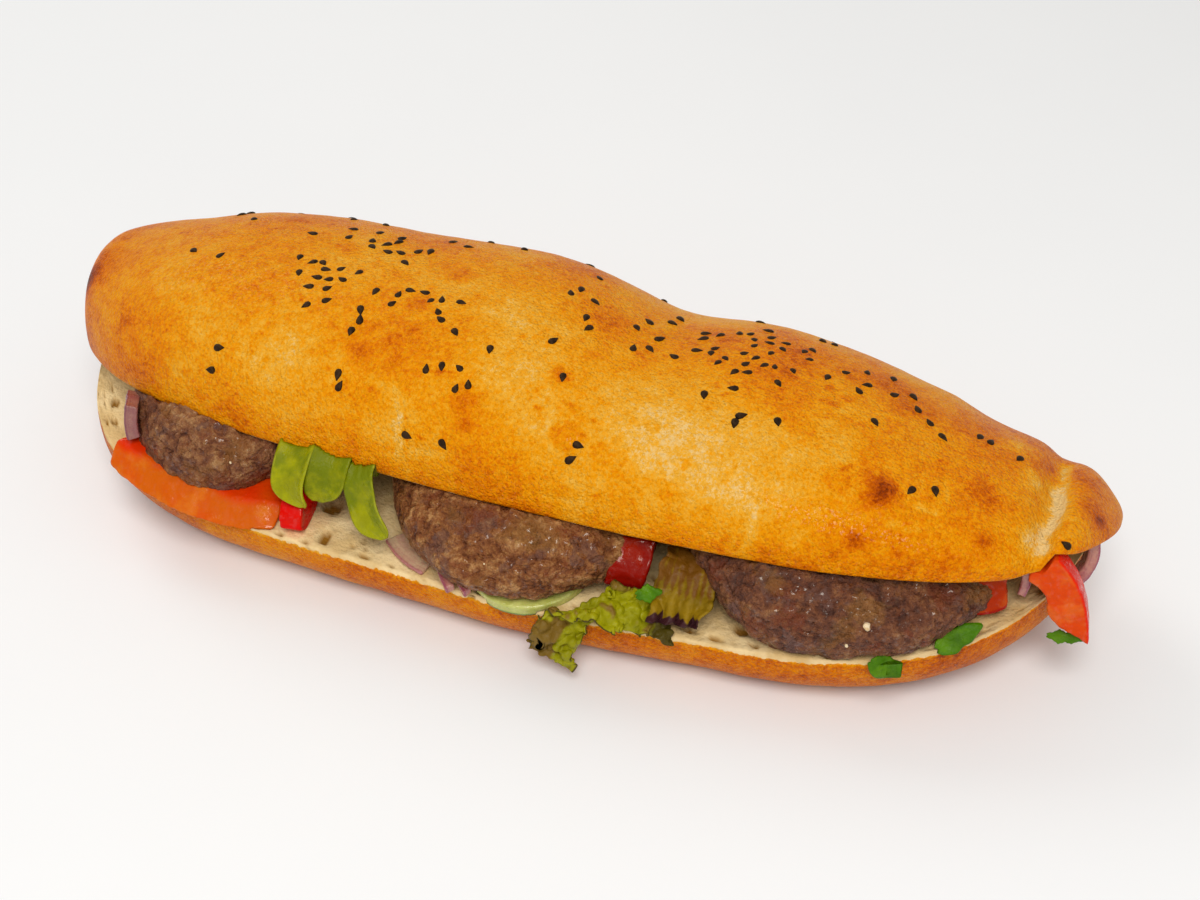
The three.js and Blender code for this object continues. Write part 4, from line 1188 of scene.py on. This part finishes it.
def arc_skin(radius_x, radius_y):
    """1 on the outer arc of a slice, 0 on its flesh."""
    def skin(local, normals):
        out = np.hypot(local[:, 0] / radius_x, local[:, 1] / radius_y)
        return smoothstep(out, 1 - 2 * SKIN_DEPTH, 1 - SKIN_DEPTH)
    return skin


def flesh_relief(local, skin):
    soft = ripple(local, 5, 2, 1.0) * 0.35 + ripple(local, 1.8, 2, 6.0) * 0.16
    return soft * (1 - 0.85 * skin) - 0.15 * (1 - skin)


def tomato_slice(material):
    """The wide slice that lies flat: red on its upper side, with a cut edge that leans back."""
    name = "tomato_slice_left"
    radii, arc, back, thickness, centre, tilt = TOMATO[name]
    slab = tomato_slab(*radii, *arc, back, thickness)
    return cut_piece(name, slab, VOXEL["slice"], top_skin, flesh_relief, centre, tilt, material, "tomato",
                     lean=slanted(*radii, thickness, 0.2), soft=22)


def tomato_wedge(name, material):
    radii, arc, back, thickness, centre, tilt = TOMATO[name]
    slab = tomato_slab(*radii, *arc, back, thickness)
    return cut_piece(name, slab, VOXEL["wedge"], arc_skin(*radii), flesh_relief, centre, tilt, material,
                     "tomato", aside=LEANING_ASIDE.get(name), soft=10)


def bowed(start, pull, end):
    """Points after the start of a curve that bows towards pull."""
    a, b, c = (np.array(point) for point in (start, pull, end))
    shares = [i / ARC_STEPS["bow"] for i in range(1, ARC_STEPS["bow"] + 1)]
    return [tuple(a * (1 - t) ** 2 + b * 2 * t * (1 - t) + c * t * t) for t in shares]


def hanging_wedge(material):
    """The wedge that hangs out of the right end: skin on its right, wet flesh to the front."""
    bm = bmesh.new()
    top, tip, notch, hollow, shoulder = (-3, 11.5), (7.5, -12), (1.5, -8.8), (-4, -1), (-9, 4)
    outline = [top, *bowed(top, (6, 4), tip), notch, *bowed(notch, (-4.5, -6), hollow),
               *bowed(hollow, (-5.5, 2.5), shoulder), (-9, 9)]
    bm.faces.new([bm.verts.new((x, y, 0)) for x, y in outline])
    thicken(bm, 6.5)

    def skin(local, normals):
        right = -3 + 10 * smoothstep(11.5 - local[:, 1], 0, 20)
        return smoothstep(local[:, 0] - right, -1.1, -0.3) * smoothstep(normals[:, 0], 0.15, 0.5)

    return cut_piece("tomato_wedge_end", bm, VOXEL["hanging wedge"], skin, flesh_relief, (130.5, -15, 31),
                     (84, 0, 6), material, "tomato", soft=9)


def onion(name, finishes):
    """A piece of an onion layer, with a dark line along its skin side and faint ones inside it."""
    radius, width, arc, thickness, centre, tilt, finish = ONION[name]

    def skin(local, normals):
        out = np.hypot(local[:, 0], local[:, 1])
        line = smoothstep(out, radius - 0.75, radius - 0.35)
        return np.maximum(line, 0.4 * smoothstep(np.sin(out * 5.2), 0.8, 1.0))

    def relief_of(local, skin_share):
        return ripple(local, 4, 2, 2.0) * 0.22

    slab = ring_slab(radius, width, *arc, thickness)
    return cut_piece(name, slab, VOXEL["onion"], skin, relief_of, centre, tilt, finishes[finish], "onion")


def cucumber(material):
    radius, thickness, centre, tilt = CUCUMBER
    bm = bmesh.new()
    bmesh.ops.create_cone(bm, cap_ends=True, segments=96, radius1=radius, radius2=radius, depth=thickness)

    def skin(local, normals):
        out = np.hypot(local[:, 0], local[:, 1])
        return smoothstep(out, radius - 0.6, radius - 0.2) * smoothstep(-local[:, 2], 0.5, 1.1)

    def relief_of(local, skin_share):
        return ripple(local, 5, 2, 2.0) * 0.18 - 0.12 * (1 - skin_share)

    return cut_piece("cucumber_slice", bm, VOXEL["slice"], skin, relief_of, centre, tilt, material,
                     "cucumber")


# ---------------------------------------------------------------- leaves
def spine_curve(knots, u):
    """Point and direction on the smooth curve through the knots, at u from 0 to 1."""
    knots = [np.array(knot, float) for knot in knots]
    knots = [2 * knots[0] - knots[1], *knots, 2 * knots[-1] - knots[-2]]
    place = u * (len(knots) - 3)
    first = min(int(place), len(knots) - 4)
    w = place - first
    p0, p1, p2, p3 = knots[first:first + 4]
    d0, d1, d2 = (max(np.linalg.norm(b - a), 1e-4) ** 0.5 for a, b in ((p0, p1), (p1, p2), (p2, p3)))
    t1 = ((p1 - p0) / d0 - (p2 - p0) / (d0 + d1) + (p2 - p1) / d1) * d1
    t2 = ((p2 - p1) / d1 - (p3 - p1) / (d1 + d2) + (p3 - p2) / d2) * d1
    c2 = -3 * p1 + 3 * p2 - 2 * t1 - t2
    c3 = 2 * p1 - 2 * p2 + t1 + t2
    return p1 + t1 * w + c2 * w * w + c3 * w ** 3, unit(t1 + 2 * c2 * w + 3 * c3 * w * w)


def leaf_surface(spine, across, width, tip, cup, ruffle, waves, seed, cells_uv, tone, hem, frill=0.0,
                 frill_waves=0, ragged=0.0, crinkle=0.0, curl_under=0.0, valley_shade=0.0):
    """The solids' leaf with finer ruffles: frill is the height of the extra waves along its edges."""
    phase = random_draws(seed)() * math.pi * 2
    rows, columns = cells_uv
    surface = np.zeros((rows + 1, columns + 1, 3))
    along = np.zeros((rows + 1, columns + 1))
    across_mask = np.zeros((rows + 1, columns + 1))
    root, end = (np.array(side, float) for side in across)
    v = np.linspace(-1, 1, columns + 1)
    for i in range(rows + 1):
        u = i / rows
        centre, ahead = spine_curve(spine, u)
        side = unit(root + (end - root) * u)
        up = unit(np.cross(side, ahead))
        edge = np.array([noise.noise(Vector((u * waves * 2.2, seed * 3.1, k))) for k in (0.0, 7.0)])
        end_share = max(0.0, (u - 1 + LEAF_ROUND) / LEAF_ROUND)
        narrow = max(tip, math.sqrt(1 - end_share ** 2))
        reach = width(u) * narrow * (1 + ragged * np.where(v > 0, edge[0], edge[1]) * np.abs(v))
        wave = ruffle * (v * narrow) ** 2 * np.sin(waves * math.pi * u + phase + np.where(v > 0, 1.3, 0))
        drift = ruffle * 0.5 * (1 - v * v) * math.sin(0.6 * waves * math.pi * u + 2 * phase)
        flutter = frill_waves * math.pi * u
        fine = frill * np.abs(v) ** 3 * np.sin(flutter + 2.4 * np.sign(v) + 5 * edge[0])
        puff = 0.35 * ruffle * np.array([noise.noise(Vector((u * waves * 1.7, k * 2.6, seed))) for k in v])
        lift = wave + drift + fine + puff - cup * (v * narrow) ** 2
        lift = lift + curl_under * u ** 5 * np.sin(3.3 * math.pi * v + 1.1 + 1.5 * edge[0])
        curl = 0.5 * frill * np.abs(v) ** 3 * np.cos(flutter + 5 * edge[1])
        surface[i] = centre + side * (reach * v)[:, None] + up * lift[:, None] + ahead * curl[:, None]
        along[i] = u
        across_mask[i] = v
    masks = {"along": along, "across": across_mask, "tone": tone(along, across_mask),
             "hem": hem(along, across_mask)}
    if crinkle:
        folds = ripple(surface, 3.6, 2, seed) + 0.45 * ripple(surface, 1.7, 1, seed + 4.0)
        surface = surface + sheet_normals(surface) * (crinkle * folds)[..., None]
        # painted shade in the hollows of the crinkles
        masks["tone"] = masks["tone"] + valley_shade * smoothstep(-folds, 0.05, 0.5)
    return surface, masks


def sheet_normals(surface):
    return unit(np.cross(np.gradient(surface, axis=1), np.gradient(surface, axis=0)))


def leaf_piece(name, surface, masks, thickness, material, slot):
    """A sheet given two faces that meet in a thin edge all round."""
    rows, columns = surface.shape[0] - 1, surface.shape[1] - 1
    u = np.linspace(0, 1, rows + 1)[:, None]
    v = np.linspace(0, 1, columns + 1)[None, :]
    inset = np.minimum(np.minimum(u, 1 - u) * rows, np.minimum(v, 1 - v) * columns)
    half = (thickness / 2 * np.minimum(1, inset / 1.5) ** 0.5)[..., None]
    offset = sheet_normals(surface) * half
    around = np.concatenate([surface + offset, (surface - offset)[:, -2::-1]], axis=1)
    masks = {mask: np.concatenate([values, values[:, -2::-1]], axis=1) for mask, values in masks.items()}
    bm = grid_bmesh(around, masks)
    bmesh.ops.recalc_face_normals(bm, faces=bm.faces)
    move_verts(bm, pressed(vert_points(bm)))
    return add_piece(name + "_dressed", bm, material, slot, name)


def tongue(half):
    return lambda u: half * (0.75 + 0.25 * math.sin(math.pi * u))


def light_rim(u, v):
    return 0.42 * smoothstep(np.abs(v), 0.84, 0.97)


# Leaves: spine from root to tip, the way across it at each end, half width along it (mm), and their ruffles.
# painted shade: the lettuce tone darkens each leaf toward its root, under the lip
LETTUCE = {
    "lettuce_petal_left": dict(
        spine=[(-57, -14, 38), (-56, -28, 41), (-56, -36, 37.5), (-56, -39, 32), (-53, -40, 27)],
        across=[(1, -0.15, 0.1), (1, -0.1, 0.25)], width=tongue(5.2), tip=0.25, cup=2, ruffle=0.4,
        waves=2, seed=1, tone=lambda u, v: 0.9 - 0.9 * u, hem=light_rim),
    "lettuce_petal_right": dict(
        spine=[(-46, -14, 39), (-46, -28, 42), (-47, -35, 38.5), (-48, -37, 33), (-50, -37.5, 28)],
        across=[(1, 0.1, 0.15), (1, 0.1, -0.1)], width=tongue(5.4), tip=0.25, cup=1.8, ruffle=0.4,
        waves=2, seed=2, tone=lambda u, v: 1.1 - 0.8 * u, hem=light_rim),
    "lettuce_strip": dict(
        spine=[(-39, -14, 40), (-38.5, -28, 42), (-39, -36, 38), (-37, -38, 32), (-33, -41, 27.5),
               (-30, -42, 25)],
        across=[(1, 0.1, 0.2), (0.8, 0, 0.6)], width=tongue(4.6), tip=0.25, cup=1.2, ruffle=1,
        waves=3, seed=3, tone=lambda u, v: 1.2 - 1.1 * u, hem=light_rim),
}
RED_LETTUCE = {
    "red_lettuce_frill": dict(
        spine=[(43, -41, 19.5), (35, -44, 21.5), (27, -44.5, 22.5), (20.8, -46, 20.5), (17.4, -49.5, 14.5),
               (15.5, -51.5, 7)],
        across=[(0.2, -0.8, -0.6), (-1, 0, 0.3)], width=lambda u: 5.6 + 2 * u ** 3, tip=0.75, cup=0.5,
        # painted shade: the crinkles' hollows, the edges and the root are darkened
        ruffle=1.2, waves=6, seed=4, frill=1.0, frill_waves=23, ragged=0.3, crinkle=2.2, valley_shade=0.7,
        tone=lambda u, v: smoothstep(u, 0.66, 0.78) * smoothstep(v, -0.2, 0.15),
        hem=lambda u, v: np.maximum(0.7 * smoothstep(np.abs(v), 0.9, 1.0), smoothstep(-u, -0.16, -0.04))),
    "red_lettuce_fold": dict(
        spine=[(46, -12, 28), (46, -24, 32), (45.5, -33, 30.5), (45, -40, 26), (44, -44.5, 21)],
        across=[(1, 0.2, -0.1), (1, 0.2, -0.1)], width=lambda u: 6.5 + 1.5 * u, tip=0.8, cup=1, ruffle=1.5,
        waves=5, seed=5, frill=0.5, frill_waves=11, ragged=0.12, crinkle=0.5, curl_under=1.6,
        # brown toward the top: partly the leaf's own colour, partly painted shade under the lip; with streaks
        tone=lambda u, v: 1 - smoothstep(u, 0.45, 0.9) + 0.28 * np.sin(26 * v + 3 * np.sin(5 * u)),
        hem=lambda u, v: smoothstep(u + 0.03 * np.sin(9 * v + 1) + 0.025 * np.sin(21 * v), 0.88, 0.95)),
}
PARSLEY = {  # length, width, lobes, centre, tilt
    "parsley_middle": (6.4, 4, 2, (35, -44, 27.7), (50, -10, 20)),
    "parsley_right": (12.5, 6.5, 1, (105, -32.6, 21.1), (40, -20, 40)),
    "parsley_on_crust": (9, 5, 0, (90.8, -39.9, 19.8), (65, 30, 15)),
    "parsley_end": (9, 3, 3, (128.5, -18, 19.5), (50, -4, 4)),
}


def parsley_leaf(name, material):
    """A small cut leaf: scalloped lobes along both sides, slightly cupped."""
    length, width, lobes, centre, tilt = PARSLEY[name]
    rows, columns = 48, 16
    u = np.linspace(0.02, 0.98, rows + 1)[:, None]
    v = np.linspace(-1, 1, columns + 1)[None, :]
    scallop = 1 + 0.18 * np.cos(u * lobes * 2 * math.pi) + 0.06 * np.cos(u * lobes * 6 * math.pi)
    half = width / 2 * np.sin(math.pi * u ** 0.8) ** 0.9 * scallop
    x = u * length - 0.10 * width * np.abs(v) * (1 - u)
    z = 0.5 * np.cos(u * 5) * v * v + 0.25 * np.sin(u * 9 + 2 * v)
    local = stack(x, half * v, z)
    surface = placed(local.reshape(-1, 3), centre, tilt).reshape(local.shape)
    even = np.ones(local.shape[:2])
    masks = {"along": u * even, "across": v * even, "tone": 0.4 * even, "hem": 0 * even}
    return leaf_piece(name, surface, masks, 0.5, material, "parsley")


# ---------------------------------------------------------------- loose crumbs
CRUMBS = [  # x, y, z, size
    (89.2, -40.1, 30.8, 1.1),
    (85.4, -42.7, 25.9, 0.5),
    (-2, -47.0, 29.5, 0.45),
    (-74, -36.2, 33, 0.4),
]


def loose_crumbs(material):
    bm = bmesh.new()
    for number, (x, y, z, size) in enumerate(CRUMBS):
        for vert in bmesh.ops.create_icosphere(bm, subdivisions=3, radius=size)["verts"]:
            rough = 1 + 0.45 * noise.noise(vert.co / size * 1.3 + Vector((number * 7, 0, 0)))
            vert.co = vert.co * rough * 0.8 + Vector((x, y, z))
    return add_piece("loose_crumbs", bm, material, "crust")


# ---------------------------------------------------------------- floor, light and camera
def floor():
    bm = bmesh.new()
    bmesh.ops.create_grid(bm, x_segments=1, y_segments=1, size=3)
    mesh = mesh_of(bm, "floor")
    look = Finish("pale floor", Roughness=0.9)
    white = look.mottle((0.84, 0.88, 0.97), (0.825, 0.865, 0.955), 3.0)
    mesh.materials.append(look.finish(Base_Color=white))
    plane = bpy.data.objects.new("floor", mesh)
    bpy.context.scene.collection.objects.link(plane)


def area_light(name, place, aim, size, power):
    light = bpy.data.lights.new(name, "AREA")
    light.shape = "DISK"
    light.color = WARM
    light.size = size
    light.energy = power
    lamp = bpy.data.objects.new(name, light)
    lamp.location = place
    lamp.rotation_euler = (Vector(aim) - Vector(place)).to_track_quat("-Z", "Y").to_euler()
    bpy.context.scene.collection.objects.link(lamp)


def studio():
    world = bpy.data.worlds.new("studio")
    world.use_nodes = True
    world.node_tree.nodes["Background"].inputs["Color"].default_value = (*WARM, 1)
    world.node_tree.nodes["Background"].inputs["Strength"].default_value = 0.5
    bpy.context.scene.world = world
    area_light("high front light", (0.25, -0.75, 1.15), (0.0, 0.0, 0.03), 0.7, 12.5)
    area_light("left back light", (-0.9, 0.5, 0.9), (0.0, 0.0, 0.03), 0.8, 4)
    bpy.context.scene.view_settings.view_transform = "Standard"


def camera():
    azimuth, elevation = math.radians(CAMERA["azimuth"]), math.radians(CAMERA["elevation"])
    back = Vector((math.sin(azimuth) * math.cos(elevation), -math.cos(azimuth) * math.cos(elevation),
                   math.sin(elevation)))
    lens = bpy.data.cameras.new("camera")
    lens.lens = CAMERA["lens"]
    lens.sensor_width = 36
    seat = bpy.data.objects.new("camera", lens)
    seat.location = (Vector(CAMERA["target"]) + back * CAMERA["distance"]) * MM
    seat.rotation_euler = (-back).to_track_quat("-Z", "Y").to_euler()
    bpy.context.scene.collection.objects.link(seat)
    bpy.context.scene.camera = seat


# ---------------------------------------------------------------- putting it together
def dress_fillings():
    mince = kofta_finish()
    for side in PATTY:
        patty(side, mince)
    reds = {name: tomato_finish(*look) for name, look in TOMATO_LOOKS.items()}
    tomato_slice(reds["tomato_slice_left"])
    for name in ("tomato_wedge_left", "tomato_wedge_middle", "tomato_wedge_right"):
        tomato_wedge(name, reds[name])
    hanging_wedge(reds["tomato_wedge_end"])
    # the second, darker green is painted shade toward the lettuce tops
    green = leaf_finish("green lettuce", (0.35, 0.36, 0.0), (0.15, 0.185, 0.0), (0.47, 0.48, 0.03))
    for name, form in LETTUCE.items():
        surface, masks = leaf_surface(cells_uv=(70, 28), **form)
        leaf_piece(name, surface, masks, 0.8, green, "lettuce")
    # the curly lettuce's darkest colour, on its hem, is painted shade
    curly = leaf_finish("curly lettuce", (0.34, 0.33, 0.004), (0.18, 0.105, 0.014), (0.070, 0.052, 0.006),
                        rough=0.3)
    tipped = leaf_finish("red tipped lettuce", (0.27, 0.165, 0.004), (0.15, 0.058, 0.004),
                         (0.045, 0.012, 0.016))
    for name, form in RED_LETTUCE.items():
        surface, masks = leaf_surface(cells_uv=(220, 60), **form)
        leaf_piece(name, surface, masks, 0.5, curly if name.endswith("frill") else tipped, "red_lettuce")
    onions = {name: onion_finish(name, *look) for name, look in ONION_LOOKS.items()}
    for name in ONION:
        onion(name, onions)
    cucumber(cucumber_finish())
    herb = leaf_finish("parsley", (0.055, 0.17, 0.0), (0.10, 0.24, 0.0), (0.035, 0.10, 0.0), rough=0.36)
    for name in PARSLEY:
        parsley_leaf(name, herb)


camera()
studio()
floor()
bread_roll(crust_finish())
seeds(seed_finish())
dress_fillings()
loose_crumbs(crumb_bit_finish())
